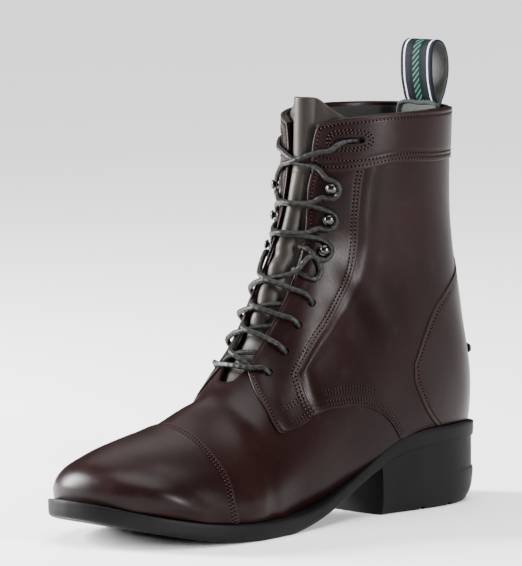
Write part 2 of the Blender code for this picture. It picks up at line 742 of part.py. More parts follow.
def make_counter(leather):
    lateral = feather_line(1, 401)
    foot = lateral[lateral[:, 1] > COUNTER_FOOT[0][1]]
    foot = resample(foot, 10, form(foot[:, 0], foot[:, 1]))
    mirrored = foot * (-1.0, 1.0)
    low = np.concatenate([mirrored[::-1], foot[1:]])
    high = both_sides(COUNTER_TOP, 10)
    start = chain(((COUNTER_FOOT, 4), (COUNTER_NOSE, 3)), -1)
    end = chain(((COUNTER_FOOT, 4), (COUNTER_NOSE, 3)), 1)
    start[0] = low[0]
    end[0] = low[-1]
    half = SEAM / 2
    grid = drawn_in(coons(low, high, start, end), (GAP, half, half, half))
    overlay("counter", grid, leather)


def make_back_gore(webbing):
    v = np.linspace(GORE_LOW, 1.0, 8)
    half = GORE_HALF_LOW + (GORE_HALF_TOP - GORE_HALF_LOW) * (v - GORE_LOW) / (1.0 - GORE_LOW)
    turn = half[:, None] * np.linspace(-1.0, 1.0, 5)[None]
    grid = np.stack([turn, np.broadcast_to(v[:, None], turn.shape)], -1)
    overlay("back_gore", drawn_in(grid, (0.0, 0.0, SEAM / 2, SEAM / 2)), webbing)


def make_spur_rest(rubber):
    height = seat(np.array(HEEL_BACK)) + SPUR_OVER_SEAT
    v = zero_between(0.75, 0.9, lambda at: form(np.zeros_like(at), at)[..., 2] - height)
    turn = np.linspace(-SPUR_HALF, SPUR_HALF, 11)
    levels = []
    for rise in (-0.5, 0.5):
        target = height + rise * SPUR_HEIGHT
        levels.append(zero_between(np.full(11, float(v) - 0.06), np.full(11, float(v) + 0.06),
                                   lambda at: form(turn, at)[..., 2] - target))
    grid = np.stack([np.stack([turn, level], -1) for level in levels])
    ends = np.sqrt(np.clip(1 - 0.8 * (turn / SPUR_HALF) ** 4, 0.05, 1.0))
    outer = skin(grid[..., 0], grid[..., 1], GAP + SPUR_PROUD * np.stack([ends, ends]))
    inner = skin(grid[..., 0], grid[..., 1], np.full(grid.shape[:2], GAP))
    grid_shell("spur_rest", outer, inner, rubber)


def tongue_bulge(spread, v):
    """How far the tongue swells out between the lace edges."""
    across = np.clip(1 - (np.abs(spread) / 0.034) ** 2, 0.0, 1.0)
    above = np.clip((v - 0.53) / 0.05, 0.0, 1.0)
    return TONGUE_BULGE * across * above * above * (3 - 2 * above)


def make_tongue(leather):
    spread = np.array([-s for s in TONGUE_SPREAD[:0:-1]] + list(TONGUE_SPREAD))
    tops = np.array(TONGUE_TOP)
    top = through(tops[:, 0], tops[:, 1], np.abs(spread))
    t = np.linspace(0.0, 1.0, 14)[:, None]
    v = TONGUE_LOW * (1 - t) + top[None] * t
    spread = np.broadcast_to(spread[None], v.shape)
    depth = -(OVERLAY + BED + UPPER_WALL + TONGUE_GAP) + tongue_bulge(spread, v)
    outer = skin(0.5 + spread, v, depth)
    inner = skin(0.5 + spread, v, depth - TONGUE_WALL)
    grid_shell("tongue", outer, inner, leather)


def make_insole(lining):
    depth = -(OVERLAY + BED + UPPER_WALL + INSOLE_MARGIN)
    sides = []
    for side in (1, -1):
        line = feather_line(side, 25)
        sides.append(skin(line[:, 0], line[:, 1], np.full(25, depth)))
    loop = np.concatenate([sides[0], sides[1][1:-1][::-1]])[:, :2]
    levels = []
    for rise in (CURVED_GAP, CURVED_GAP + INSOLE_THICK):
        levels.append(np.column_stack([loop, seat(loop[:, 0]) + rise]))
    loft("insole", levels, lining)


def sole_loop(stations):
    """Closed outline from the heel along the outer side to the last station and back along the inner side."""
    outer, inner = sole_edge(stations)
    there = np.stack([stations, outer], -1)
    back = np.stack([stations, inner], -1)[::-1]
    return there, back


def make_outsole(rubber):
    count = 28
    t = (1 - np.cos(np.linspace(0.0, math.pi, count))) / 2
    shares = t * 0.85 + np.linspace(0.0, 1.0, count) * 0.15
    stations = place(np.union1d(shares, FLAT_SHARES))
    there, back = sole_loop(stations)
    loop = np.concatenate([there, back[1:-1]])
    loops = []
    for share, margin in SOLE_SIDE:
        shape = inset_loop(loop, np.full(len(loop), margin))
        x = shape[:, 0]
        z = seat(x) * (1 - share) + underside(x) * share
        loops.append(np.column_stack([shape, z]))
    outsole = loft("outsole", loops, rubber)
    tools = []
    for k in range(TREAD_GROOVES):
        x = place(TREAD_START) + LUG_PITCH * k
        outer, inner = sole_edge(np.array([x]))
        low = (x - LUG_GROOVE / 2, float(inner[0]) + LUG_BORDER, -0.01)
        rise = float(underside(np.array(x))) + LUG_DEPTH
        tools.append(box("groove", low, (x + LUG_GROOVE / 2, float(outer[0]) - LUG_BORDER, rise), rubber))
    combine(outsole, tools, "DIFFERENCE")


def make_heel(rubber):
    count = 14
    t = 1 - np.cos(np.linspace(0.0, math.pi / 2, count))
    stations = HEEL_BACK + (HEEL_BREAST - HEEL_BACK) * t
    there, back = sole_loop(stations)
    loop = np.concatenate([there, back[:-1]])
    levels = [(None, RAND_SET, RAND_SET)] + [(share * HEEL_STEP, a, b) for share, a, b in HEEL_SIDE]
    loops = []
    for height, margin, back_margin in levels:
        to_back = (HEEL_BREAST - loop[:, 0]) / (HEEL_BREAST - HEEL_BACK)
        shape = loop.copy()
        shape[:, 0] = HEEL_BREAST - (HEEL_BREAST - HEEL_BACK - back_margin) * to_back
        shape[:, 1] *= 1 - margin / (BALL_WIDTH * HEEL_SHARE)
        top = underside(shape[:, 0]) - CURVED_GAP
        z = top if height is None else np.full(len(shape), height)
        shape[:, 0] += BREAST_SLOPE * (1 - to_back) * z / HEEL_RISE
        if height is None:
            z = underside(shape[:, 0]) - CURVED_GAP
        loops.append(np.column_stack([shape, z]))
    heel = loft("heel", loops, rubber)
    tools = []
    for x in HEEL_NOTCHES:
        for low, high in ((0.018, 0.05), (-0.05, -0.018)):
            tools.append(box("notch", (x - LUG_GROOVE / 2, low, -0.01), (x + LUG_GROOVE / 2, high, LUG_DEPTH), rubber))
    combine(heel, tools, "DIFFERENCE")


def make_hooks(metal):
    profile = ((HOOK_RADIUS, GAP), (HOOK_RADIUS, 0.0010), (HOOK_RADIUS * 0.45, 0.0012),
               (HOOK_RADIUS * 0.45, HOOK_RISE * 0.62), (HOOK_RADIUS * 0.95, HOOK_RISE * 0.70),
               (HOOK_RADIUS * 0.80, HOOK_RISE * 0.90), (HOOK_RADIUS * 0.35, HOOK_RISE))
    for side, name in ((1, "outer"), (-1, "inner")):
        for number, (turn, v) in enumerate(LACE_HOOKS, 1):
            centre = form(side * turn, v)
            turned("hook_%s_%d" % (name, number), profile, centre, outward(side * turn, v), metal, sides=6)


def lace_run(start, end, over):
    """Path of one lace between two places given as (turn, v), raised in the middle."""
    t = np.linspace(0.0, 1.0, 8)
    turn = start[0] + (end[0] - start[0]) * t
    v = start[1] + (end[1] - start[1]) * t
    rise = LACE_RADIUS + BED + over * np.sin(math.pi * t) ** 4
    return skin(turn, v, rise)


def make_laces(cord):
    """Crossings of the lace from the lowest holes to the slots; the lowest one is joined to the bar under it."""
    holes = [(turn + HOLE_ASIDE, v) for turn, v in LACE_HOLES]
    hooks = [(turn + HOOK_ASIDE, v) for turn, v in LACE_HOOKS]
    slot = (LACE_SLOT[0][0] + HOLE_ASIDE, LACE_SLOT[0][1])
    places = holes + hooks + [slot]
    for number, (low, high) in enumerate(zip(places, places[1:]), 1):
        up = 0.22 * (high[1] - low[1])
        start = low[1] if number == 1 else low[1] + up
        runs = [lace_run((low[0], start), (1 - high[0], high[1] - up), UNDER_RISE),
                lace_run((1 - low[0], start), (high[0], high[1] - up), OVER_RISE)]
        if number == 1:
            runs.append(lace_run(low, (1 - low[0], low[1]), BAR_RISE))
        pieces = []
        for run in runs:
            vertices, faces = tube_points(run, LACE_RADIUS, 5)
            pieces.append(add_object("lace_cross_%d" % number, vertices, faces, cord))
        combine(pieces[0], pieces[1:], "UNION")


def make_pull_loop(tape, lining):
    wall = float(form(0.0, 1.0)[0]) + OVERLAY + BED + UPPER_WALL
    collar = float(form(0.0, 1.0)[2])
    first = wall + 0.0032
    path = np.array([(first + x, collar + LOOP_RISE * rise) for x, rise in LOOP_PATH])
    knots = np.arange(len(path))
    line = through(knots, path, np.linspace(0, len(path) - 1, 23))
    along = np.gradient(line, axis=0)
    along /= np.linalg.norm(along, axis=1, keepdims=True)
    side = np.stack([along[:, 1], -along[:, 0]], -1)
    outer = line + side * LOOP_THICK / 2
    inner = line - side * LOOP_THICK / 2
    grids = []
    for edge in (outer, inner):
        rows = [np.column_stack([edge[:, 0], np.full(len(edge), y), edge[:, 1]])
                for y in (-LOOP_WIDTH / 2, LOOP_WIDTH / 2)]
        grids.append(np.stack(rows))
    grid_shell("pull_loop", grids[0], grids[1], tape)
    front = first + LOOP_PATH[-1][0] + LOOP_THICK / 2 + GAP
    low = (front, -PATCH_WIDTH / 2, collar - PATCH_DROP)
    box("loop_patch", low, (front + PATCH_THICK, PATCH_WIDTH / 2, collar - GAP), lining)


def main():
    for old in list(bpy.data.objects):
        bpy.data.objects.remove(old)
    leather = material("leather", (0.055, 0.026, 0.024), 0.38)
    overlay_leather = material("overlay_leather", (0.060, 0.028, 0.026), 0.36)
    tongue_leather = material("tongue_leather", (0.085, 0.070, 0.055), 0.5)
    lining = material("lining", (0.025, 0.028, 0.026), 0.85)
    rubber = material("rubber", (0.016, 0.016, 0.016), 0.6)
    cord = material("waxed_cord", (0.022, 0.023, 0.024), 0.55)
    metal = material("gunmetal", (0.08, 0.08, 0.085), 0.28, 1.0)
    webbing = material("webbing", (0.02, 0.045, 0.04), 0.8)
    make_upper(leather)
    make_toe_cap(overlay_leather)
    make_side_panels(overlay_leather)
    make_counter(overlay_leather)
    make_back_gore(webbing)
    make_spur_rest(rubber)
    make_tongue(tongue_leather)
    make_insole(lining)
    make_outsole(rubber)
    make_heel(rubber)
    make_hooks(metal)
    make_laces(cord)
    make_pull_loop(webbing, lining)


main()
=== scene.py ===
"""Looks of the lace-up paddock boot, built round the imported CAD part.

Metres. +X points to the toe, +Y to the outer side of the left boot, +Z up. A place on the upper is (turn, v), as
in the CAD: turn runs round the foot from the back (0) over the outer side (0.25) and the ridge (0.5) to the inner
side (0.75), and v runs from under the toe (0) to the collar (1).
"""
import math

import bmesh
import bpy
import numpy as np
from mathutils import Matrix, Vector


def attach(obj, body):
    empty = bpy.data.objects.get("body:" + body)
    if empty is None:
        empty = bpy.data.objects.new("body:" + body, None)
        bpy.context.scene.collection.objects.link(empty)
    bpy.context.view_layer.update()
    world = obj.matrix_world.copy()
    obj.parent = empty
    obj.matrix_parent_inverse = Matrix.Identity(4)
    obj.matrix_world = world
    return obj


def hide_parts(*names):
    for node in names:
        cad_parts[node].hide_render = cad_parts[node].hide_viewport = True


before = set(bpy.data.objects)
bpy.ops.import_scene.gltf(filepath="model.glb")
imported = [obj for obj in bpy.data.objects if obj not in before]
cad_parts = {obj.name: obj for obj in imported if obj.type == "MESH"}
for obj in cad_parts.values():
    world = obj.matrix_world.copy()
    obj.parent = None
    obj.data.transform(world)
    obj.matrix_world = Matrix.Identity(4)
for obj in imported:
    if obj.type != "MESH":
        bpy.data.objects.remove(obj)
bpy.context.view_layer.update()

# Driving sizes in metres: those of the CAD, and LOOP_ASIDE, by which the pull loop stands to the outer side
SOLE_LENGTH = 0.272
BALL_WIDTH = 0.095
LEG_WIDTH = 0.078
INSTEP_RISE = 0.0805
LEG_RISE = 0.084
HEEL_RISE = 0.0335
TOE_SPRING = 0.015
HEEL_BACK = -0.038
SOLE_THICK = 0.009
HEEL_BREAST = 0.047
BREAST_SLOPE = 0.002
HEEL_STEP = 0.0175
FEATHER_GAP = 0.0004
LACE_RADIUS = 0.0014
HOLE_RADIUS = 0.0022
SLOT_WIDTH = 0.0034
LOOP_WIDTH = 0.022
LOOP_THICK = 0.0015
LOOP_RISE = 0.034
PATCH_WIDTH = 0.027
PATCH_DROP = 0.026
LOOP_ASIDE = 0.004
LOOP_INSET = 0.0074
LACE_ON = LACE_RADIUS + 0.0003

# Values of v between which the foot passes into the leg, a small step of turn or v, and how near points are one
LEG_BLEND = (0.43, 0.62)
SMALL_STEP = 1e-4
WELD_REACH = 1e-6

# Spur rest: height over the seat, half width as turn, height, dome
SPUR_RISE = 0.0385
SPUR_TURN = 0.105
SPUR_HIGH = 0.0045
SPUR_DOME = 0.0040

# Tread: number of grooves, share of the length where they start, pitch, depth, distance from the edges; and the
# places of the heel's side notches
GROOVES = 7
GROOVE_START = 0.565
GROOVE_PITCH = 0.0125
GROOVE_DEEP = 0.0016
GROOVE_END = 0.008
HEEL_NOTCHES = (0.018, -0.003)

# Depths of the outer faces from the form, and of the lining's inner face
VAMP_DEPTH = -0.00125
QUARTER_DEPTH = -0.00055
STAY_DEPTH = 0.0
CUFF_DEPTH = 0.0002
CAP_DEPTH = -0.0001
COUNTER_DEPTH = 0.0
GORE_DEPTH = -0.0009
LINING_DEPTH = -0.0036
TONGUE_DEPTH = -0.0047
TONGUE_WALL = 0.0022
TONGUE_BULGE = 0.0050

# Foot bed: share of the length, shares of the heel's rise and of the toe spring, sole thickness
BED_LINE = np.array([
    (-0.007, 0.94, 0.00, 0.94), (0.000, 0.95, 0.00, 0.94), (0.140, 1.00, 0.00, 0.94), (0.213, 0.97, 0.00, 0.92),
    (0.287, 0.82, 0.00, 0.86), (0.360, 0.525, 0.00, 0.78), (0.434, 0.255, 0.00, 0.78),
    (0.507, 0.075, 0.00, 0.84), (0.600, 0.00, 0.00, 1.02), (0.691, 0.00, 0.01, 1.02), (0.783, 0.00, 0.12, 1.00),
    (0.875, 0.00, 0.40, 0.98), (1.000, 0.00, 1.00, 0.97), (1.050, 0.00, 1.28, 0.97),
])

# Ridge and back of the upper: v, ridge place, share of the instep's rise, share of the leg's rise,
# back place, share of both rises together, shift of the ridge to the inner side
PROFILE = np.array([
    (0.00, 0.919, -0.097, 0.000, 0.919, -0.047, -0.084), (0.04, 0.963, -0.076, 0.000, 0.860, -0.068, -0.084),
    (0.10, 0.978, 0.072, 0.000, 0.794, -0.068, -0.074), (0.16, 0.956, 0.223, 0.000, 0.757, -0.074, -0.063),
    (0.22, 0.897, 0.362, 0.000, 0.728, -0.077, -0.063), (0.29, 0.824, 0.474, 0.000, 0.699, -0.075, -0.063),
    (0.36, 0.739, 0.574, 0.000, 0.665, -0.073, -0.063), (0.43, 0.658, 0.703, 0.000, 0.618, -0.086, -0.053),
    (0.50, 0.588, 0.778, 0.000, 0.544, -0.149, -0.042), (0.56, 0.537, 0.846, 0.000, 0.441, -0.206, -0.021),
    (0.62, 0.500, 1.000, 0.000, 0.305, -0.199, -0.011), (0.68, 0.474, 1.000, 0.190, 0.158, -0.157, 0.000),
    (0.74, 0.456, 1.000, 0.333, 0.034, -0.094, 0.000), (0.79, 0.445, 1.000, 0.440, 0.004, 0.082, 0.000),
    (0.84, 0.438, 1.000, 0.536, 0.026, 0.307, 0.000), (0.90, 0.430, 1.000, 0.631, 0.059, 0.623, 0.000),
    (0.95, 0.426, 1.000, 0.690, 0.066, 0.836, 0.000), (1.00, 0.423, 1.000, 1.000, 0.066, 1.000, 0.000),
    (1.10, 0.426, 1.000, 1.619, 0.066, 1.316, 0.000),
])

# Sections: v, outer and inner half widths as shares of the girth, place of the widest line,
# roundness of the front and of the back
SECTIONS = np.array([
    (0.00, 0.000, 0.000, 0.50, 2.00, 2.00), (0.04, 0.253, 0.211, 0.50, 2.00, 2.00),
    (0.10, 0.405, 0.335, 0.50, 2.10, 2.80), (0.16, 0.495, 0.400, 0.45, 2.10, 2.80),
    (0.22, 0.532, 0.421, 0.40, 2.05, 2.80), (0.29, 0.558, 0.426, 0.38, 2.00, 2.80),
    (0.36, 0.558, 0.421, 0.36, 1.95, 2.80), (0.43, 0.505, 0.400, 0.35, 1.90, 2.80),
    (0.50, 0.468, 0.401, 0.34, 1.85, 2.80), (0.56, 0.463, 0.415, 0.34, 1.90, 2.80),
    (0.62, 0.462, 0.436, 0.36, 2.00, 2.80), (0.68, 0.449, 0.436, 0.40, 2.00, 2.80),
    (0.74, 0.449, 0.436, 0.44, 2.00, 2.70), (0.79, 0.449, 0.436, 0.46, 2.00, 2.40),
    (0.84, 0.462, 0.449, 0.48, 2.00, 2.20), (0.90, 0.474, 0.474, 0.48, 2.00, 2.10),
    (0.95, 0.487, 0.487, 0.48, 2.00, 2.10), (1.00, 0.500, 0.500, 0.48, 2.00, 2.10),
    (1.10, 0.500, 0.500, 0.48, 2.00, 2.10),
])

# Outline of the sole: share of the length, outer and inner edge as shares of the ball's width
SOLE_OUTLINE = np.array([
    (0.000, 0.000, 0.000), (0.009, 0.137, -0.137), (0.037, 0.263, -0.258), (0.103, 0.342, -0.332),
    (0.195, 0.358, -0.337), (0.305, 0.342, -0.295), (0.415, 0.363, -0.274), (0.526, 0.421, -0.326),
    (0.618, 0.474, -0.421), (0.699, 0.500, -0.484), (0.772, 0.484, -0.500), (0.846, 0.426, -0.474),
    (0.904, 0.347, -0.421), (0.949, 0.242, -0.347), (0.978, 0.137, -0.274), (0.994, 0.032, -0.179),
    (1.000, -0.074, -0.074),
])

# Side of the sole: depth under its top as a share of the thickness, inset in metres
SOLE_SIDE = (
    (0.000, 0.0016), (0.015, 0.0007), (0.045, 0.0002), (0.090, 0.0000), (0.300, 0.0001), (0.500, 0.0001),
    (0.700, 0.0002), (0.860, 0.0004), (0.940, 0.0008), (1.000, 0.0016),
)

# Side of the heel: height as a share of the step's height (none: against the sole), inset of the sides and back
HEEL_SIDE = (
    (None, 0.0003, 0.0018),
    (1.08, 0.0003, 0.0018), (1.05, 0.0003, 0.0016), (1.01, 0.0003, 0.0006), (0.97, 0.0003, 0.0001),
    (0.80, 0.0004, 0.0002), (0.56, 0.0006, 0.0008), (0.40, 0.0008, 0.0018), (0.27, 0.0012, 0.0030),
    (0.17, 0.0016, 0.0046), (0.09, 0.0020, 0.0062), (0.03, 0.0026, 0.0080), (0.00, 0.0036, 0.0097),
)

# Seams on the outer side as (turn, v); the inner side mirrors them
CAP_SEAM = ((0.196, 0.262), (0.228, 0.270), (0.260, 0.280), (0.316, 0.311), (0.375, 0.331), (0.426, 0.345),
            (0.472, 0.354), (0.500, 0.358))
TAB_FRONT = ((0.327, 0.500), (0.338, 0.484), (0.356, 0.480), (0.384, 0.483), (0.412, 0.485), (0.461, 0.504))
LACE_EDGE = ((0.461, 0.504), (0.457, 0.548), (0.447, 0.591), (0.441, 0.640), (0.448, 0.717), (0.458, 0.800),
             (0.463, 0.870), (0.461, 0.936))
WING_SEAM = ((0.307, 0.552), (0.296, 0.574), (0.283, 0.595), (0.267, 0.624), (0.246, 0.643), (0.219, 0.652),
             (0.187, 0.656))
COUNTER_FRONT = ((0.163, 0.706), (0.190, 0.701), (0.220, 0.703), (0.241, 0.708), (0.254, 0.720))
COUNTER_TOP = ((0.254, 0.720), (0.256, 0.740), (0.249, 0.771), (0.223, 0.811), (0.182, 0.843), (0.120, 0.868),
               (0.060, 0.886), (0.004, 0.900))
STAY_FOOT = ((0.307, 0.552), (0.335, 0.549), (0.366, 0.553))
STAY_SEAM = ((0.366, 0.553), (0.364, 0.602), (0.363, 0.655), (0.364, 0.714), (0.366, 0.790), (0.364, 0.867),
             (0.360, 0.946))
TAB_END = ((0.307, 0.552), (0.315, 0.523), (0.327, 0.500))
CUFF_BACK = ((0.098, 0.953), (0.104, 1.000))
CUFF_LINE = ((0.098, 0.953), (0.200, 0.953), (0.320, 0.952), (0.360, 0.946), (0.461, 0.936))
COLLAR_LINE = ((0.104, 1.000), (0.200, 1.000), (0.277, 1.000), (0.355, 0.997), (0.417, 0.994), (0.452, 0.990))
CUFF_FRONT = ((0.461, 0.936), (0.463, 0.955), (0.462, 0.975), (0.452, 0.990))

# Steps of the cap's seam that count as its short ends, of 241
CAP_CORNER = 26

# The quarter's back edge: turn beside the middle of the heel, and its way round the gore; half widths of the gore as
# turn, and its lower end as v
GORE_MIDDLE = 0.0008
GORE_SEAM = ((0.0008, 0.80), (0.050, 0.855), (0.094, 0.880))
GORE_HALF_TOP = 0.113
GORE_HALF_LOW = 0.104
GORE_LOW = 0.866

# Opening of the upper: share of the feather line from heel to toe, turn and v on the rim, columns up to here
RIM_COLUMNS = (
    (0.00, 0.000, 1.000, 0), (0.13, 0.110, 1.000, 5), (0.25, 0.220, 1.000, 4), (0.36, 0.330, 0.998, 3),
    (0.44, 0.410, 0.994, 3), (0.48, 0.453, 0.989, 2), (0.53, 0.457, 0.850, 2), (0.59, 0.446, 0.690, 2),
    (0.64, 0.445, 0.600, 2), (0.70, 0.463, 0.500, 3), (0.80, 0.478, 0.478, 3), (0.90, 0.490, 0.474, 4),
    (1.00, 0.500, 0.473, 4),
)

# Grids of the wall and of the lining: times as many columns as in the CAD, and rows
WALL_GRID = (6, 84)
LINING_GRID = (3, 60)

# Lacing places on the outer side as (turn, v), from the bottom up
LACE_HOLES = ((0.416, 0.518), (0.407, 0.554), (0.403, 0.592), (0.399, 0.634))
LACE_HOOKS = ((0.413, 0.726), (0.415, 0.796), (0.415, 0.874))
LACE_SLOT = ((0.413, 0.976), (0.367, 0.977))

# Lace round a hook: aside from the ridge and up from its middle. Into the slot: turn, way down, depth. The slack
# turn at the fourth hole: turn, v, depth
HOOK_WRAP = ((-0.0044, -0.0050), (-0.0010, -0.0052), (0.0022, -0.0042), (0.0038, -0.0014), (0.0034, 0.0018),
             (0.0010, 0.0036), (-0.0026, 0.0046))
INTO_SLOT = ((0.424, 0.008, LACE_ON), (0.408, 0.002, 0.0004), (0.394, 0.0, -0.0014), (0.374, 0.0, -0.0036))
SLACK_TURN = ((0.456, 0.700, -0.0020), (0.440, 0.703, 0.0008), (0.420, 0.698, 0.0015), (0.406, 0.682, 0.0015),
              (0.408, 0.668, 0.0015), (0.424, 0.658, 0.0015), (0.440, 0.656, 0.0004), (0.454, 0.655, -0.0024))

# Washer and stem of a lace hook: radius, height
HOOK_FOOT = ((0.0000, 0.0004), (0.0030, 0.0004), (0.0032, 0.0006), (0.0032, 0.0009), (0.0030, 0.0012),
             (0.0022, 0.0013), (0.0015, 0.0016), (0.0013, 0.0021), (0.0013, 0.0027), (0.0017, 0.0030))

# Tongue: half spread as turn, its lower end and its top from the middle to the side
TONGUE_SIDE = 0.110
TONGUE_LOW = 0.455
TONGUE_TOP = ((0.0, 1.0140), (0.034, 1.0125), (0.065, 1.004), (0.110, 0.992))

# Edge of the tape: distance from its side, share of half the thickness, inner face (1) or outer (0)
TAPE_EDGE = ((0.0002, 0.8, 0.5), (0.0, 0.3, 0.0), (0.0, -0.3, 0.0), (0.0002, -0.8, 0.0))

# Pull loop: x from the wall, share of the rise
LOOP_PATH = (
    (0.0000, -0.50), (0.0000, 0.00), (-0.0030, 0.22), (-0.0055, 0.50), (-0.0050, 0.76), (-0.0022, 0.94),
    (0.0015, 1.00), (0.0052, 0.94), (0.0068, 0.78), (0.0066, 0.45), (0.0045, 0.18), (0.0026, 0.00),
    (0.0026, -0.50),
)

# Creases: turn, v, direction in degrees from level, half length, half width, depth in metres
CREASES = (
    (0.400, 0.446, 4.0, 0.030, 0.0060, 0.0003), (0.330, 0.430, 16.0, 0.022, 0.0050, 0.0003),
    (0.600, 0.446, -4.0, 0.030, 0.0060, 0.0003), (0.670, 0.430, -16.0, 0.022, 0.0050, 0.0003),
    (0.285, 0.700, 24.0, 0.026, 0.0065, 0.0004), (0.315, 0.655, 12.0, 0.022, 0.0055, 0.0003),
    (0.230, 0.790, 35.0, 0.028, 0.0080, 0.0004), (0.715, 0.700, -24.0, 0.026, 0.0065, 0.0004),
    (0.685, 0.650, -12.0, 0.022, 0.0055, 0.0003), (0.770, 0.790, -35.0, 0.028, 0.0080, 0.0004),
    (0.300, 0.860, 60.0, 0.040, 0.0110, 0.0004), (0.700, 0.860, -60.0, 0.040, 0.0110, 0.0004),
)
# Rough girth and height of the form, to place the creases
CREASE_GIRTH = 0.28
CREASE_RISE = 0.30

# Edge steps of a panel and the step between its inner columns; reach of the rubbed edge; stitch troughs
NEAR_EDGE = (0.0, 0.0006, 0.0012, 0.0018, 0.0024, 0.0030, 0.0036, 0.0043, 0.0052, 0.0065, 0.0082)
PANEL_STEP = 0.0017
RUBBED_REACH = 0.0011
TROUGH_DEPTH = 0.00016
TROUGH_HALF = 0.0006

# Stitches: pitch, length and thickness; distances of the rows from the edges they follow
STITCH_PITCH = 0.0020
STITCH_LONG = 0.0011
STITCH_THICK = 0.00027
STITCH_ROWS = (0.0016, 0.0036)
# Needle holes as painted shade: radius of each dark disc, its lift over the stitch line and how far its middle sinks
HOLE_SHADE_RADIUS = 0.00050
HOLE_SHADE_LIFT = 0.00015
HOLE_SHADE_SUNK = 0.00002
STITCH_SUNK = -0.00012
EDGE_ROW = 0.0022
CUFF_ROW = 0.0020
COUNTER_ROW = 0.0024
TAB_ROWS = (0.0018, 0.0036, 0.0110, 0.0128)
SLOT_ROWS = (0.0022, 0.0038)

# Second pair of rows over the wing: distance, part of its length, depth
WING_PAIR = 0.0058
WING_SPAN = slice(24, 118)
WING_PAIR_SUNK = -0.0001

# One stitch: share of half its length, shares of its thickness for the radius and for the height of its middle
STITCH_PROFILE = ((-1.0, 0.0, -0.9), (-0.72, 0.8, -0.35), (-0.30, 1.0, 0.0), (0.30, 1.0, 0.0), (0.72, 0.8, -0.35),
                  (1.0, 0.0, -0.9))


def through(knots, values, at):
    """Smooth curve through the knots, straight on at both ends."""
    k = np.asarray(knots, float)
    y = np.asarray(values, float)
    at = np.clip(np.asarray(at, float), k[0], k[-1])
    step = np.diff(k)
    wide = step if y.ndim == 1 else step[:, None]
    rise = np.diff(y, axis=0) / wide
    slope = np.empty_like(y)
    slope[1:-1] = (rise[:-1] * wide[1:] + rise[1:] * wide[:-1]) / (wide[:-1] + wide[1:])
    slope[0] = 1.5 * rise[0] - 0.5 * slope[1]
    slope[-1] = 1.5 * rise[-1] - 0.5 * slope[-2]
    i = np.clip(np.searchsorted(k, at, side="right") - 1, 0, len(k) - 2)
    h = step[i]
    t = (at - k[i]) / h
    if y.ndim > 1:
        h, t = h[..., None], t[..., None]
    keep = (2 * t**3 - 3 * t**2 + 1) * y[i] + (3 * t**2 - 2 * t**3) * y[i + 1]
    lean = (t**3 - 2 * t**2 + t) * h * slope[i] + (t**3 - t**2) * h * slope[i + 1]
    return keep + lean


def unit(vectors):
    return vectors / np.linalg.norm(vectors, axis=-1, keepdims=True)


def place(share):
    return HEEL_BACK + SOLE_LENGTH * share


def bed(x, column):
    """A column of the foot bed's table at places x."""
    return through(BED_LINE[:, 0], BED_LINE[:, column], (x - HEEL_BACK) / SOLE_LENGTH)


def seat(x):
    """Height of the foot bed, which is the top of the sole."""
    return SOLE_THICK + HEEL_RISE * bed(x, 1) + TOE_SPRING * np.maximum(bed(x, 2), 0.0)


def underside(x):
    """Height of the sole's lower face; flat on the floor under the ball."""
    return np.maximum(seat(x) - SOLE_THICK * bed(x, 3), 0.0)


def smooth_step(low, high, value):
    t = np.clip((value - low) / (high - low), 0.0, 1.0)
    return t * t * (3 - 2 * t)


def lift(x, v):
    """Height of the boot's bed under a point: the leg is lifted by the whole heel."""
    leg = smooth_step(*LEG_BLEND, v)
    return SOLE_THICK + HEEL_RISE * (bed(x, 1) * (1 - leg) + leg) + TOE_SPRING * bed(x, 2)


def form(turn, v):
    """Outer face of the boot's upper."""
    turn, v = np.broadcast_arrays(np.asarray(turn, float), np.asarray(v, float))
    row = through(PROFILE[:, 0], PROFILE[:, 1:], v)
    ridge_x = place(row[..., 0])
    ridge_z = INSTEP_RISE * row[..., 1] + LEG_RISE * row[..., 2] + lift(ridge_x, v)
    back_x = place(row[..., 3])
    back_z = (INSTEP_RISE + LEG_RISE) * row[..., 4] + lift(back_x, v)
    ridge_y = BALL_WIDTH * row[..., 5]
    section = through(SECTIONS[:, 0], SECTIONS[:, 1:], v)
    leg = smooth_step(*LEG_BLEND, v)
    girth = BALL_WIDTH * (1 - leg) + LEG_WIDTH * leg
    co = np.cos(2 * math.pi * turn)
    si = np.sin(2 * math.pi * turn)
    power = np.where(co > 0, section[..., 4], section[..., 3])
    reach = (np.abs(co) ** power + np.abs(si) ** power) ** (-1 / power)
    along = -reach * co
    widest = section[..., 2]
    share = np.where(along < 0, widest + widest * along, widest + (1 - widest) * along)
    half = girth * np.where(si > 0, section[..., 0], section[..., 1])
    return np.stack([back_x + (ridge_x - back_x) * share, ridge_y + half * reach * si,
                     back_z + (ridge_z - back_z) * share], -1)


def form_at(points):
    return form(points[..., 0], points[..., 1])


def ways(turn, v):
    """How far the form goes for a small step round the foot, and for one up it."""
    d = SMALL_STEP
    return form(turn + d, v) - form(turn - d, v), form(turn, v + d) - form(turn, v - d)


def outward(turn, v):
    """Unit normal of the form."""
    along, up = ways(turn, v)
    return unit(np.cross(up, along))


def relief(turn, v):
    """Soft troughs and ridges of the creases."""
    total = np.zeros(np.broadcast(turn, v).shape)
    for turn_0, v_0, direction, half_length, half_width, depth in CREASES:
        aside = ((turn - turn_0 + 0.5) % 1.0 - 0.5) * CREASE_GIRTH
        up = (v - v_0) * CREASE_RISE
        lean = math.radians(direction)
        along = aside * math.cos(lean) + up * math.sin(lean)
        across = -aside * math.sin(lean) + up * math.cos(lean)
        fade = np.exp(-(along / half_length) ** 2)
        trough = np.exp(-(across / half_width) ** 2)
        ridge = np.exp(-((np.abs(across) - 1.9 * half_width) / (1.1 * half_width)) ** 2)
        total = total + depth * fade * (0.45 * ridge - trough)
    return total


def surface(turn, v, depth):
    """The form with its creases, moved outwards by a depth."""
    return form(turn, v) + outward(turn, v) * (depth + relief(turn, v))[..., None]


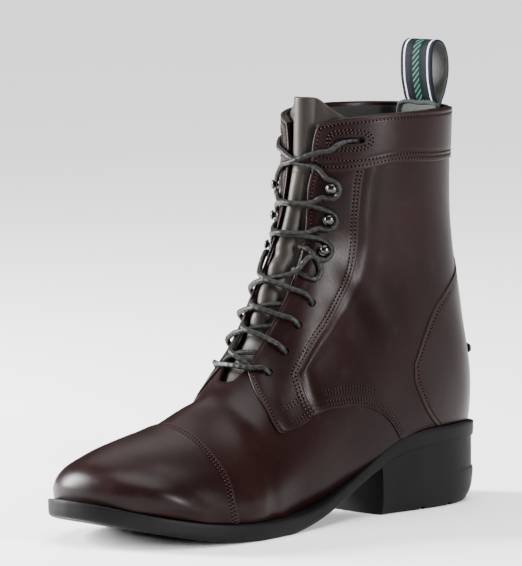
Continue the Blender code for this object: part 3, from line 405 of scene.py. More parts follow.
def zero_between(low, high, value):
    """Where a value that rises from low to high crosses zero."""
    for _ in range(40):
        middle = (np.asarray(low, float) + high) / 2
        below = value(middle) < 0
        low, high = np.where(below, middle, low), np.where(below, high, middle)
    return (low + high) / 2


def lengths_along(path):
    return np.concatenate([[0.0], np.cumsum(np.linalg.norm(np.diff(path, axis=0), axis=1))])


def resample(points, count, path):
    """Even steps, measured in metres on the path, along points given as (turn, v)."""
    gone = lengths_along(path)
    at = np.linspace(0.0, gone[-1], count)
    return np.stack([np.interp(at, gone, points[:, i]) for i in range(2)], -1)


def even(line, count=201):
    return resample(line, count, form_at(line))


def feather_line(side):
    """Lower edge of the upper on one side, from the back of the heel to the toe, as (turn, v)."""
    def over_seat(turn, v):
        point = form(turn, v)
        return point[..., 2] - seat(point[..., 0]) - FEATHER_GAP

    toe = zero_between(0.0, 0.2, lambda v: over_seat(0.5, v))
    heel = zero_between(0.70, 0.85, lambda v: over_seat(0.0, v))
    v = toe + (heel - toe) * (1 + np.cos(np.linspace(0.0, math.pi, 241)[1:-1])) / 2
    turn = zero_between(np.zeros_like(v), np.full_like(v, 0.5), lambda t: over_seat(side * t, v))
    turn = np.concatenate([[0.0], turn, [0.5]])
    return even(np.stack([side * turn, np.concatenate([[heel], v, [toe]])], -1), 401)


FEATHER = {side: feather_line(side) for side in (1, -1)}


def seam(table, count, side=1):
    """Even steps along a seam of the table, on the outer (1) or inner (-1) side."""
    rows = np.array(table, float)
    knots = lengths_along(form_at(rows))
    return even(through(knots, rows, np.linspace(0.0, knots[-1], 400)), count) * (side, 1.0)


def joined(*parts):
    """Several lines of (turn, v) as one, without doubled ends."""
    return np.concatenate([parts[0]] + [part[1:] for part in parts[1:]])


def both_sides(table, count):
    """Seam from the outer side over the ridge to the inner side."""
    return joined(seam(table, count), (seam(table, count, -1) + (1.0, 0.0))[::-1])


def stay_line(side, foot_count, count):
    return joined(seam(STAY_FOOT, foot_count, side), seam(STAY_SEAM, count, side))


def beside(line, margin, side):
    """A line of (turn, v) moved square to itself over the form, to its right as seen from outside."""
    line = even(line)
    turn, v = line.T
    aside = unit(np.cross(outward(turn, v), np.gradient(form(turn, v), axis=0)) * -side) * margin
    along, up = (way / (2 * SMALL_STEP) for way in ways(turn, v))
    moves = [np.linalg.lstsq(np.stack([along[k], up[k]], -1), aside[k], rcond=None)[0] for k in range(len(line))]
    return line + moves


# Meshes
def put(work, name, finish=None):
    """A new smooth object made from a bmesh."""
    mesh = bpy.data.meshes.new(name)
    work.to_mesh(mesh)
    work.free()
    if finish:
        mesh.materials.append(finish)
    mesh.shade_smooth()
    return link(name, mesh)


def link(name, data):
    made = bpy.data.objects.new(name, data)
    bpy.context.collection.objects.link(made)
    return made


def grid_mesh(name, points, finish, facing=None, weld=False, data=None, cut_every=0):
    """A mesh made from a bmesh grid whose vertices are moved to the points; rows x columns x 3.

    facing: rough outward direction at each point; without it the mesh is closed. data: named values for each
    point. cut_every: number of rows in each separate block, when the grid holds many small pieces.
    """
    rows, columns = points.shape[:2]
    work = bmesh.new()
    bmesh.ops.create_grid(work, x_segments=columns - 1, y_segments=rows - 1, size=1.0)
    start = np.array([v.co[:2] for v in work.verts])
    column = np.rint((start[:, 0] + 1) / 2 * (columns - 1)).astype(int)
    row = np.rint((start[:, 1] + 1) / 2 * (rows - 1)).astype(int)
    for v, r, c in zip(work.verts, row, column):
        v.co = points[r, c]
    for key, values in (data or {}).items():
        layer = work.verts.layers.float.new(key)
        for v, r, c in zip(work.verts, row, column):
            v[layer] = float(values[r, c])
    if cut_every:
        block = row // cut_every
        bridging = [f for f in work.faces if len({block[v.index] for v in f.verts}) > 1]
        bmesh.ops.delete(work, geom=bridging, context="FACES")
    if weld:
        bmesh.ops.remove_doubles(work, verts=work.verts, dist=WELD_REACH)
    if facing is None:
        bmesh.ops.recalc_face_normals(work, faces=work.faces)
    else:
        work.normal_update()
        sampled = list(work.faces)[:: max(1, len(work.faces) // 400)]
        first = [f.verts[0].index for f in sampled]
        if sum(f.normal.dot(Vector(facing[row[k], column[k]])) for f, k in zip(sampled, first)) < 0:
            bmesh.ops.reverse_faces(work, faces=work.faces)
    return put(work, name, finish)


def join(objects, name):
    """Joins objects that share one finish into the first."""
    target = objects[0]
    work = bmesh.new()
    for o in objects:
        work.from_mesh(o.data)
    work.to_mesh(target.data)
    work.free()
    for o in objects[1:]:
        bpy.data.objects.remove(o)
    target.name = name
    target.data.shade_smooth()
    return target


def cut(target, tools):
    """Cuts the tools out of the target and removes them."""
    for tool in tools:
        change = target.modifiers.new(tool.name, "BOOLEAN")
        change.operation = "DIFFERENCE"
        change.solver = "EXACT"
        change.object = tool
    graph = bpy.context.evaluated_depsgraph_get()
    result = bpy.data.meshes.new_from_object(target.evaluated_get(graph))
    target.modifiers.clear()
    target.data = result
    for tool in tools:
        bpy.data.objects.remove(tool)
    result.shade_smooth()
    result.set_sharp_from_angle(angle=math.radians(50))
    return target


def at_shares(line, u):
    """Points of a line of even steps at shares u."""
    at = np.clip(u, 0.0, 1.0) * (len(line) - 1)
    return np.stack([np.interp(at, np.arange(len(line)), line[:, i]) for i in range(2)], -1)


def coons(low, high, start, end, u, w):
    """Grid stretched between four lines at shares u along and w across."""
    u1 = u[..., None]
    w1 = w[..., None]
    between = ((1 - w1) * at_shares(low, u) + w1 * at_shares(high, u)
               + (1 - u1) * at_shares(start, w) + u1 * at_shares(end, w))
    corners = ((1 - u1) * (1 - w1) * low[0] + u1 * (1 - w1) * low[-1]
               + (1 - u1) * w1 * high[0] + u1 * w1 * high[-1])
    return between - corners


def edge_spaced(lengths, count):
    """Shares along rows of the given lengths, close together near both ends."""
    near = np.array(NEAR_EDGE)
    shares = []
    for length in lengths:
        tight = np.minimum(near, 0.42 * length * near / near[-1]) / length
        middle = np.linspace(tight[-1], 1 - tight[-1], count)[1:-1]
        shares.append(np.concatenate([tight, middle, 1 - tight[::-1]]))
    return np.array(shares)


def patch(*lines):
    """Grid of (turn, v) between low, high, start and end lines, with its steps close together at the edges.

    Returns the grid and the distances in metres to the low, high, start and end edges.
    """
    lines = [even(line) for line in lines]
    g = np.linspace(0.0, 1.0, 13)
    points = form_at(coons(*lines, *np.meshgrid(g, g)))
    row_lengths = np.linalg.norm(np.diff(points, axis=1), axis=2).sum(1)
    column_lengths = np.linalg.norm(np.diff(points, axis=0), axis=2).sum(0)
    across = max(4, int(row_lengths.mean() / PANEL_STEP))
    up = max(4, int(column_lengths.mean() / PANEL_STEP))
    w_line = edge_spaced([column_lengths.mean()], up)[0]
    u_grid = edge_spaced(np.interp(w_line, g, row_lengths), across)
    w_grid = edge_spaced(np.interp(u_grid.mean(0), g, column_lengths), up).T
    wide = np.interp(w_grid, g, row_lengths)
    tall = np.interp(u_grid, g, column_lengths)
    grid = coons(*lines, u_grid, w_grid)
    return grid, (w_grid * tall, (1 - w_grid) * tall, u_grid * wide, (1 - u_grid) * wide)


def turned(sheets, swap, flip):
    """Grids with the wanted edge brought to the first row, or back again."""
    if swap:
        sheets = [sheet.swapaxes(0, 1) for sheet in sheets]
    return [sheet[::-1] for sheet in sheets] if flip else sheets


def rolled(points, normals, edges, radius, drop, values=None):
    """Turns edges of a sheet down in a quarter round and a straight drop: low, high, start, end."""
    if values is None:
        values = np.zeros(points.shape[:2])
    for number, wanted in enumerate(edges):
        if not wanted:
            continue
        swap, flip = number > 1, number % 2 == 1
        p, n, d = turned((points, normals, values), swap, flip)
        aside = p[0] - p[1]
        aside -= n[0] * np.sum(aside * n[0], axis=1, keepdims=True)
        aside /= np.maximum(np.linalg.norm(aside, axis=1, keepdims=True), 1e-12)
        rows = [p[0] + aside * radius * math.sin(a) - n[0] * radius * (1 - math.cos(a))
                for a in np.radians([30.0, 60.0, 90.0])]
        rows.append(p[0] + aside * radius - n[0] * drop)
        p = np.concatenate([np.array(rows)[::-1], p])
        n = np.concatenate([np.repeat(n[:1], len(rows), axis=0), n])
        d = np.concatenate([np.full((len(rows), d.shape[1]), 1.0), d])
        if flip:
            p, n, d = p[::-1], n[::-1], d[::-1]
        points, normals, values = turned((p, n, d), swap, False)
    return points, normals, values


def panel(name, lines, depth, finish, edges, rows=(), puffs=(), drop=0.0008, radius=0.00045):
    """Leather panel over the form.

    lines: low, high, start, end. edges: which of them are turned down. rows: (edge, distance) of stitch troughs.
    puffs: (edge, distance, half width, height) of soft ridges along an edge.
    """
    grid, distances = patch(*lines)
    lie = np.full(grid.shape[:2], depth)
    rim = np.zeros(grid.shape[:2])
    for number, wanted in enumerate(edges):
        if wanted:
            rim = np.maximum(rim, np.exp(-distances[number] / RUBBED_REACH))
    for number, distance in rows:
        lie -= TROUGH_DEPTH * np.exp(-((distances[number] - distance) / TROUGH_HALF) ** 2)
    for number, distance, half, height in puffs:
        lie += height * np.exp(-((distances[number] - distance) / half) ** 2)
    turn, v = grid[..., 0], grid[..., 1]
    points, normals, rim = rolled(surface(turn, v, lie), outward(turn, v), edges, radius, drop, rim)
    return grid_mesh(name, points, finish, facing=normals, data={"rim": rim})


# Finishes
class Wire:
    """A socket that takes part in Python expressions."""

    def __init__(self, tree, socket):
        self.tree = tree
        self.socket = socket

    def node(self, kind, inputs, out=0, **settings):
        """A new node of the same material with its settings and inputs; returns one of its outputs."""
        made = self.tree.nodes.new(kind)
        for key, value in settings.items():
            setattr(made, key, value)
        for key, value in inputs.items():
            self.feed(made.inputs[key], value)
        return Wire(self.tree, made.outputs[out])

    def feed(self, socket, value):
        if isinstance(value, Wire):
            self.tree.links.new(value.socket, socket)
        else:
            socket.default_value = (*value, 1.0) if socket.type == "RGBA" else value

    def maths(self, operation, *others):
        return self.node("ShaderNodeMath", dict(enumerate((self,) + others)), operation=operation)

    def __add__(self, other):
        return self.maths("ADD", other)

    def __sub__(self, other):
        return self.maths("SUBTRACT", other)

    def __rsub__(self, other):
        return self * -1.0 + other

    def __mul__(self, other):
        return self.maths("MULTIPLY", other)

    __radd__ = __add__
    __rmul__ = __mul__

    def between(self, low, high):
        """Smooth step from 0 at low to 1 at high."""
        return self.node("ShaderNodeMapRange", {"Value": self, "From Min": low, "From Max": high},
                         interpolation_type="SMOOTHSTEP")


class Finish:
    """A material under construction."""

    def __init__(self, name, specular=0.5, metallic=0.0):
        self.material = bpy.data.materials.new(name)
        self.material.use_nodes = True
        tree = self.material.node_tree
        self.shader = tree.nodes["Principled BSDF"]
        self.shader.inputs["Specular IOR Level"].default_value = specular
        self.shader.inputs["Metallic"].default_value = metallic
        self.wire = Wire(tree, None)
        self.place = self.wire.node("ShaderNodeTexCoord", {}, out="Object")

    def noise(self, scale, detail=2.0, roughness=0.5, stretch=None):
        vector = self.place
        if stretch:
            vector = self.wire.node("ShaderNodeMapping", {"Vector": self.place, "Scale": stretch})
        return self.wire.node("ShaderNodeTexNoise", {"Vector": vector, "Scale": scale, "Detail": detail,
                                                     "Roughness": roughness})

    def cells(self, scale):
        return self.wire.node("ShaderNodeTexVoronoi", {"Vector": self.place, "Scale": scale})

    def value(self, name):
        """A named value of the mesh's points."""
        return self.wire.node("ShaderNodeAttribute", {}, out="Fac", attribute_name=name)

    def mix(self, factor, first, second):
        return self.wire.node("ShaderNodeMix", {0: factor, 6: first, 7: second}, out=2, data_type="RGBA")

    def made(self, tone, roughness, height=None, distance=0.0):
        """The finished material from its colour, its roughness and a bump of the given height in metres."""
        self.wire.feed(self.shader.inputs["Base Color"], tone)
        self.wire.feed(self.shader.inputs["Roughness"], roughness)
        if height:
            bump = self.wire.node("ShaderNodeBump", {"Height": height, "Distance": distance, "Strength": 1.0})
            self.wire.feed(self.shader.inputs["Normal"], bump)
        return self.material


def leather(name, deep, mid, light, roughness, gloss):
    """Smooth polished full-grain leather with fine pores, slow mottling and paler rubbed edges."""
    f = Finish(name, specular=gloss)
    cloud = f.noise(95.0, 4.0, 0.6)
    rub = f.value("rim")
    tone = f.mix(f.noise(22.0, 3.0).between(0.35, 0.68), deep, mid)
    tone = f.mix(cloud.between(0.52, 0.80) * 0.30, tone, light)
    tone = f.mix(rub * 0.30, tone, light)
    tone = f.mix(rub.between(0.80, 1.0) * 0.75, tone, (0.006, 0.0025, 0.002))
    grain = f.cells(1500.0).between(0.05, 0.5) * 0.5 + f.noise(700.0, 3.0, 0.6) * 0.7 + cloud * 0.8
    return f.made(tone, roughness + cloud * 0.09 + rub * 0.10, grain, 0.00005)


def suede(name, deep, mid):
    """Waxed nubuck of the tongue: soft nap with pull marks."""
    f = Finish(name, specular=0.18)
    nap = f.noise(900.0, 3.0, 0.7)
    drift = f.noise(60.0, 3.0, 0.6, stretch=(1.0, 1.0, 0.35))
    return f.made(f.mix(drift.between(0.35, 0.7), deep, mid), 0.42 + nap * 0.14, nap + drift * 1.5, 0.00006)


def textile(name, deep, mid, scale):
    """Close lining cloth."""
    f = Finish(name)
    weave = f.cells(scale)
    return f.made(f.mix(weave.between(0.1, 0.6), mid, deep), 0.85 + f.noise(120.0, 3.0) * 0.1, weave, 0.0002)


def rubber(name):
    """Moulded black rubber, a little dusty and scuffed."""
    f = Finish(name, specular=0.10)
    drift = f.noise(45.0, 4.0, 0.6)
    fine = f.noise(650.0, 3.0, 0.6)
    scuff = f.noise(160.0, 5.0, 0.7, stretch=(0.35, 0.35, 1.0))
    tone = f.mix(drift.between(0.3, 0.75), (0.0020, 0.0020, 0.0022), (0.0034, 0.0034, 0.0033))
    tone = f.mix(scuff.between(0.66, 0.80) * 0.20, tone, (0.034, 0.033, 0.030))
    return f.made(tone, 0.46 + fine * 0.12 + drift * 0.06, fine + scuff * 0.6, 0.00006)


def waxed_cord(name):
    """Round waxed cotton lace: a close braid that runs round the cord."""
    f = Finish(name, specular=0.20)
    along = f.value("along") * 900.0
    around = f.value("around") * 12.566
    braid = (along + around).maths("SINE") * (along - around).maths("SINE")
    tone = f.mix(braid.between(-0.4, 1.0), (0.004, 0.0042, 0.0038), (0.0110, 0.0110, 0.0098))
    return f.made(tone, 0.42 + f.noise(200.0, 2.0) * 0.15, braid, 0.00016)


def gunmetal(name):
    f = Finish(name, metallic=1.0)
    drift = f.noise(500.0, 3.0)
    tone = f.mix(drift.between(0.3, 0.7), (0.030, 0.028, 0.027), (0.065, 0.062, 0.059))
    return f.made(tone, 0.20 + drift * 0.12, drift, 0.00001)


def thread(name, deep, mid):
    f = Finish(name, specular=0.04)
    twist = f.noise(2500.0, 2.0)
    return f.made(f.mix(twist, deep, mid), 0.65 + twist * 0.1, twist, 0.00004)


def plain(name, first, second, roughness, scale, specular):
    """Almost even colour without bump."""
    f = Finish(name, specular=specular)
    drift = f.noise(scale, 2.0)
    return f.made(f.mix(drift, first, second), roughness + drift * 0.05)


def tape(name):
    """Woven pull-loop tape: slate ground, a white line near each edge and a green twill band in the middle."""
    f = Finish(name, specular=0.05)
    along = f.value("along")
    across = f.value("across")
    off = across.maths("ABSOLUTE")
    weave = (along * 5200.0).maths("SINE") * (across * 5200.0).maths("SINE")
    ground = f.mix(off.between(0.0030, 0.0060), (0.0022, 0.0034, 0.0044), (0.0060, 0.0084, 0.0135))
    twill = (along * 2150.0 + across * 2150.0).maths("SINE").between(-0.25, 0.25)
    band = 1.0 - off.between(0.0021, 0.0024)
    tone = f.mix(band * twill, ground, (0.026, 0.105, 0.078))
    line = off.between(0.0076, 0.0078) * (1.0 - off.between(0.0086, 0.0088))
    tone = f.mix(line, tone, (0.60, 0.62, 0.62))
    tone = f.mix(f.value("inside"), tone, (0.075, 0.078, 0.071))
    return f.made(tone, 0.66 + weave * 0.05, weave * 0.5 + twill * band * 0.8, 0.00012)


def elastic(name):
    """Ribbed elastic of the back gore, dark green black."""
    f = Finish(name, specular=0.06)
    ribs = (f.value("across") * 5200.0).maths("SINE")
    tone = f.mix(ribs.between(-0.6, 0.9), (0.0015, 0.0020, 0.0018), (0.006, 0.0085, 0.0075))
    return f.made(tone, 0.75 + f.noise(300.0, 3.0) * 0.1, ribs, 0.00025)


UPPER_LEATHER = leather("upper_leather", (0.0056, 0.0021, 0.0020), (0.0088, 0.0035, 0.0032),
                        (0.021, 0.0110, 0.0100), 0.28, 0.085)
OVERLAY_LEATHER = leather("overlay_leather", (0.0060, 0.0023, 0.0022), (0.0094, 0.0038, 0.0035),
                          (0.023, 0.0120, 0.0109), 0.27, 0.095)
TONGUE_LEATHER = suede("tongue_leather", (0.014, 0.0110, 0.0085), (0.027, 0.0220, 0.0175))
LINING = textile("lining", (0.006, 0.007, 0.006), (0.016, 0.018, 0.015), 1600.0)
PATCH_CLOTH = textile("patch_cloth", (0.032, 0.040, 0.035), (0.058, 0.070, 0.062), 1500.0)
BINDING = textile("binding", (0.006, 0.010, 0.009), (0.020, 0.028, 0.025), 2000.0)
RUBBER = rubber("rubber")
CORD = waxed_cord("waxed_cord")
METAL = gunmetal("gunmetal")
THREAD = thread("thread", (0.026, 0.0135, 0.0125), (0.062, 0.037, 0.034))
# Painted shade: a near-black finish that stands for the shade inside the needle holes and the lace slot
PAINTED_HOLE_SHADE = plain("needle_painted_hole_shades", (0.0008, 0.0005, 0.0005), (0.0020, 0.0012, 0.0012), 0.9, 800.0, 0.0)
TAPE = tape("pull_tape")
ELASTIC = elastic("elastic")


# Upper
def wall_grid(finer, rows):
    """Grid of (turn, v) over the whole wall, from the feather line to the rim, closed round the foot.

    finer: how many times as many columns as in the CAD.
    """
    shares = [RIM_COLUMNS[0][0]]
    rim = [RIM_COLUMNS[0][1:3]]
    for before, row in zip(RIM_COLUMNS, RIM_COLUMNS[1:]):
        for step in range(1, row[3] * finer + 1):
            part = step / (row[3] * finer)
            shares.append(before[0] + (row[0] - before[0]) * part)
            rim.append(tuple(before[i] + (row[i] - before[i]) * part for i in (1, 2)))
    foot = {side: at_shares(FEATHER[side], np.array(shares)) for side in (1, -1)}
    head = {side: np.array(rim) * (side, 1.0) for side in (1, -1)}
    foot, head = (np.concatenate([line[1][:-1], line[-1][1:][::-1] + (1.0, 0.0), [[1.0, line[1][0, 1]]]])
                  for line in (foot, head))
    t = np.linspace(0.0, 1.0, rows)[:, None, None]
    return foot[None] * (1 - t) + head[None] * t


def round_cutter(turn, v):
    """Round cutter through the wall at a lace hole."""
    work = bmesh.new()
    bmesh.ops.create_cone(work, cap_ends=True, segments=24, radius1=HOLE_RADIUS, radius2=HOLE_RADIUS, depth=0.012)
    turn_to = Vector((0.0, 0.0, 1.0)).rotation_difference(Vector(outward(turn, v))).to_matrix()
    for vertex in work.verts:
        vertex.co = turn_to @ vertex.co + Vector(form(turn, v))
    return put(work, "hole")


def slot_cutter(side):
    """Long cutter through the cuff at its lace slot."""
    ends = [form(side * turn, v) for turn, v in LACE_SLOT]
    axis = unit(sum(outward(side * turn, v) for turn, v in LACE_SLOT))
    line = unit(ends[1] - ends[0])
    across = np.cross(axis, line)
    ring = []
    for end, start in ((ends[0], 90.0), (ends[1], 270.0)):
        for k in range(9):
            angle = math.radians(start + 22.5 * k)
            ring.append(end + SLOT_WIDTH / 2 * (line * math.cos(angle) + across * math.sin(angle)))
    ring = np.array(ring + ring[:1])
    centre = ring[:-1].mean(0)
    rows = [centre + (ring - centre) * share + axis * rise
            for rise, share in ((-0.010, 0.0), (-0.010, 1.0), (0.006, 1.0), (0.006, 0.0))]
    # The cutter carries the painted hole shade as its finish
    return grid_mesh("slot", np.array(rows), PAINTED_HOLE_SHADE, weld=True)


def make_wall():
    """Vamp and under-layer of the whole upper, and the lining inside it."""
    grid = wall_grid(*WALL_GRID)
    turn, v = grid[..., 0], grid[..., 1]
    points = surface(turn, v, VAMP_DEPTH)
    points[0, :, 2] -= FEATHER_GAP
    normals = outward(turn, v)
    thick = VAMP_DEPTH - LINING_DEPTH
    head, normal = points[-1], normals[-1]
    away = head - points[-2]
    away = unit(away - normal * np.sum(away * normal, axis=1, keepdims=True))
    ring = [head - normal * thick / 2 * (1 - math.cos(a)) + away * thick / 2 * math.sin(a)
            for a in np.arange(1, 8) * math.pi / 8]
    ring += [head - normal * thick - away * down for down in (0.0, 0.0015, 0.0030)]
    points = np.concatenate([points, np.array(ring)])
    normals = np.concatenate([normals, np.repeat(normals[-1:], len(ring), axis=0)])
    wall = grid_mesh("vamp_and_wall", points, UPPER_LEATHER, facing=normals,
                     data={"rim": np.zeros(points.shape[:2])})
    cut(wall, [round_cutter(side * turn, v) for side in (1, -1) for turn, v in LACE_HOLES]
        + [slot_cutter(1), slot_cutter(-1)])
    grid = wall_grid(*LINING_GRID)
    grid[-1] += (grid[-2] - grid[-1]) * 0.5
    turn, v = grid[..., 0], grid[..., 1]
    points, normals, _ = rolled(surface(turn, v, LINING_DEPTH), -outward(turn, v), (False, True, False, False),
                                0.0003, 0.0006)
    return wall, grid_mesh("shaft_lining", points, LINING, facing=normals)


def make_cap():
    foot_v = CAP_SEAM[0][1]
    outer, inner = (FEATHER[side][FEATHER[side][:, 1] <= foot_v] for side in (1, -1))
    low = joined(outer, inner[::-1] + (1.0, 0.0))
    whole = even(both_sides(CAP_SEAM, 60), 241)
    start = joined(low[:1], whole[:CAP_CORNER])
    end = joined(low[-1:], whole[-CAP_CORNER:][::-1])
    middle = whole[CAP_CORNER - 1:1 - CAP_CORNER]
    rows = [(edge, distance) for edge in (1, 2, 3) for distance in STITCH_ROWS]
    return panel("toe_cap", (low, middle, start, end), CAP_DEPTH, OVERLAY_LEATHER, (False, True, True, True), rows,
                 drop=0.0014, radius=0.0006)


def make_quarter(side, name):
    foot = FEATHER[side]
    foot = foot[foot[:, 1] > WING_SEAM[-1][1]][::-1]
    wing = seam(WING_SEAM, 60, side)
    wing[-1] = foot[0]
    low = joined(wing, foot)
    high = seam(CUFF_LINE[:-1][::-1], 60, side)
    back = np.array([(GORE_MIDDLE, foot[-1, 1]), *GORE_SEAM, CUFF_LINE[0]]) * (side, 1.0)
    low[-1] = back[0]
    return panel("quarter_" + name, (low, high, stay_line(side, 20, 80), back), QUARTER_DEPTH, UPPER_LEATHER,
                 (True, False, False, True), [(0, distance) for distance in STITCH_ROWS],
                 ((2, 0.0048, 0.0046, 0.0009),))


def make_stay(side, name):
    lines = (seam(TAB_END, 20, side), seam(CUFF_LINE[-2:], 20, side), stay_line(side, 20, 80),
             joined(seam(TAB_FRONT, 20, side), seam(LACE_EDGE, 80, side)))
    rows = [(2, distance) for distance in STITCH_ROWS] + [(3, EDGE_ROW)]
    stay = panel("eyestay_" + name, lines, STAY_DEPTH, OVERLAY_LEATHER, (True, False, True, True), rows,
                 ((3, 0.0055, 0.0030, 0.0003),), drop=0.0013)
    return cut(stay, [round_cutter(side * turn, v) for turn, v in LACE_HOLES])


def make_cuff(side, name):
    lines = (seam(CUFF_LINE, 80, side), seam(COLLAR_LINE, 80, side), seam(CUFF_BACK, 20, side),
             seam(CUFF_FRONT, 20, side))
    rows = [(0, distance) for distance in STITCH_ROWS] + [(1, CUFF_ROW), (3, CUFF_ROW)]
    cuff = panel("cuff_" + name, lines, CUFF_DEPTH, OVERLAY_LEATHER, (True, True, True, True), rows, drop=0.0016,
                 radius=0.0006)
    return cut(cuff, [slot_cutter(side)])


def make_counter():
    outer, inner = (FEATHER[side][FEATHER[side][:, 1] > COUNTER_FRONT[0][1]] for side in (1, -1))
    low = joined(inner[::-1], outer)
    high = joined(seam(COUNTER_TOP, 80, -1), seam(COUNTER_TOP, 80)[::-1])
    start = seam(COUNTER_FRONT, 40, -1)
    end = seam(COUNTER_FRONT, 40, 1)
    start[0] = low[0]
    end[0] = low[-1]
    return panel("counter", (low, high, start, end), COUNTER_DEPTH, OVERLAY_LEATHER, (False, True, True, True),
                 [(edge, COUNTER_ROW) for edge in (1, 2, 3)], drop=0.0009)


def make_gore():
    v = np.linspace(GORE_LOW, 1.0, 60)
    half = GORE_HALF_LOW + (GORE_HALF_TOP - GORE_HALF_LOW) * (v - GORE_LOW) / (1.0 - GORE_LOW)
    turn = half[:, None] * np.linspace(-1.0, 1.0, 81)[None]
    v = np.broadcast_to(v[:, None], turn.shape)
    points, normals, spread = rolled(surface(turn, v, GORE_DEPTH), outward(turn, v), (False, True, False, False),
                                     0.0005, 0.0015, turn * 0.2)
    return grid_mesh("back_gore", points, ELASTIC, facing=normals, data={"across": spread})


def make_spur_rest():
    """Moulded rubber rest across the back of the heel."""
    height = seat(np.array(HEEL_BACK)) + SPUR_RISE
    level = zero_between(0.75, 0.9, lambda at: form(0.0, at)[..., 2] - height)
    turn = np.linspace(-SPUR_TURN, SPUR_TURN, 61)
    rises = np.linspace(-0.5, 0.5, 9)
    v = np.array([zero_between(level - 0.06, level + 0.06,
                               lambda at: form(turn, at)[..., 2] - (height + rise * SPUR_HIGH)) for rise in rises])
    turn = np.broadcast_to(turn, v.shape)
    ends = np.clip(1 - (np.abs(turn) / (SPUR_TURN + 0.003)) ** 4, 0.0, 1.0) ** 0.5
    dome = np.clip(1 - (2 * rises[:, None]) ** 4, 0.0, 1.0) ** 0.5
    return grid_mesh("spur_rest", surface(turn, v, -0.0004 + SPUR_DOME * dome * ends), RUBBER,
                     facing=outward(turn, v))


def tongue_bulge(spread, v):
    """Swelling of the tongue between the lace edges, with soft folds over the instep."""
    across = np.clip(1 - ((spread - 0.005) / 0.035) ** 2, 0.0, 1.0)
    folds = 0.0007 * np.sin((v - 0.55) * 2 * math.pi / 0.043) * (1 - smooth_step(0.66, 0.74, v)) * across
    return (TONGUE_BULGE * across + folds) * smooth_step(0.53, 0.58, v)


def make_tongue():
    spread = np.linspace(-TONGUE_SIDE, TONGUE_SIDE, 90)
    tops = np.array(TONGUE_TOP)
    t = np.linspace(0.0, 1.0, 160)[:, None]
    v = TONGUE_LOW * (1 - t) + through(tops[:, 0], tops[:, 1], np.abs(spread))[None] * t
    wide = np.broadcast_to(spread[None], v.shape)
    faces = []
    for offset, sign in ((0.0, 1.0), (-TONGUE_WALL, -1.0)):
        depth = TONGUE_DEPTH + tongue_bulge(wide, v) + offset
        points, normals, _ = rolled(surface(0.5 + wide, v, depth), outward(0.5 + wide, v) * sign,
                                    (True, True, True, True), TONGUE_WALL / 2, TONGUE_WALL / 2)
        faces.append(grid_mesh("tongue_face", points, TONGUE_LEATHER, facing=normals))
    return join(faces, "tongue")


# Stitches
def stitched(name, rows):
    """Stitches along rows of (line, depth), with dark discs of painted shade at their needle holes."""
    stitches = []
    painted_hole_shades = []
    ring, thick, sink = (np.array(column)[:, None, None] for column in zip(*STITCH_PROFILE))
    angles = np.linspace(0.0, 2 * math.pi, 7)
    co, si = np.cos(angles)[:, None], np.sin(angles)[:, None]
    for line, depth in rows:
        path = surface(line[:, 0], line[:, 1], depth)
        count = max(2, int(round(lengths_along(path)[-1] / STITCH_PITCH)))
        turn, v = resample(line, 2 * count + 1, path).T
        path = surface(turn, v, depth)
        normal = outward(turn, v)
        along = unit(np.gradient(path, axis=0))
        aside = np.cross(normal, along)
        for k in range(1, 2 * count, 2):
            stitches.append(path[k] + along[k] * ring * STITCH_LONG / 2 + normal[k] * sink * STITCH_THICK
                            + thick * STITCH_THICK * (aside[k] * co + normal[k] * si))
        # At each needle hole, a dark disc that paints the hole's shade
        for k in range(0, 2 * count + 1, 2):
            centre = path[k] + normal[k] * HOLE_SHADE_LIFT
            rim = centre + HOLE_SHADE_RADIUS * (aside[k] * co + along[k] * si)
            painted_hole_shades.append(np.stack([np.repeat(centre[None] - normal[k] * HOLE_SHADE_SUNK, 7, axis=0), rim]))
    return (grid_mesh(name, np.concatenate(stitches), THREAD, weld=True, cut_every=len(STITCH_PROFILE)),
            grid_mesh(name + "_painted_hole_shades", np.concatenate(painted_hole_shades), PAINTED_HOLE_SHADE, weld=True, cut_every=2))


def stitch_rows():
    """Every row of stitching as (line, depth)."""
    rows = [(beside(both_sides(CAP_SEAM, 200), -distance, 1), CAP_DEPTH + STITCH_SUNK) for distance in STITCH_ROWS]
    for side in (1, -1):
        wing = seam(WING_SEAM, 200, side)
        counter = joined(seam(COUNTER_FRONT, 60, side), seam(COUNTER_TOP, 200, side))
        wanted = [(counter, COUNTER_ROW, COUNTER_DEPTH), (seam(COLLAR_LINE, 200, side), -CUFF_ROW, CUFF_DEPTH),
                  (seam(CUFF_FRONT, 60, side), CUFF_ROW, CUFF_DEPTH),
                  (seam(LACE_EDGE, 200, side), EDGE_ROW, STAY_DEPTH)]
        for distance in STITCH_ROWS:
            wanted += [(stay_line(side, 60, 200), -distance, STAY_DEPTH),
                       (seam(TAB_FRONT, 100, side), distance, STAY_DEPTH), (wing, -distance, QUARTER_DEPTH),
                       (seam(CUFF_LINE, 200, side), distance, CUFF_DEPTH)]
            rows.append((beside(wing, -distance - WING_PAIR, side)[WING_SPAN], QUARTER_DEPTH + WING_PAIR_SUNK))
        wanted += [(seam(TAB_END, 60, side), distance, STAY_DEPTH) for distance in TAB_ROWS]
        rows += [(beside(line, margin, side), depth + STITCH_SUNK) for line, margin, depth in wanted]
        rows += [(slot_oval(side, margin), CUFF_DEPTH) for margin in SLOT_ROWS]
    return rows


def slot_oval(side, margin):
    """Line of (turn, v) round the lace slot, a margin away from its edge."""
    ends = np.array(LACE_SLOT) * (side, 1.0)
    centre = ends.mean(0)
    along, up = (np.linalg.norm(way / (2 * SMALL_STEP)) for way in ways(*centre))
    high = SLOT_WIDTH / 2 + margin
    wide = np.linalg.norm(form(*ends[0]) - form(*ends[1])) / 2 + high
    angle = np.linspace(0.0, 2 * math.pi, 121)
    x, z = (half * np.sign(wave) * np.abs(wave) ** 0.8
            for half, wave in ((wide, np.cos(angle)), (high, np.sin(angle))))
    return centre + np.stack([x / along, z / up], -1)


# Laces and hooks
def mirrored(side, turn):
    return turn if side == 1 else 1.0 - turn


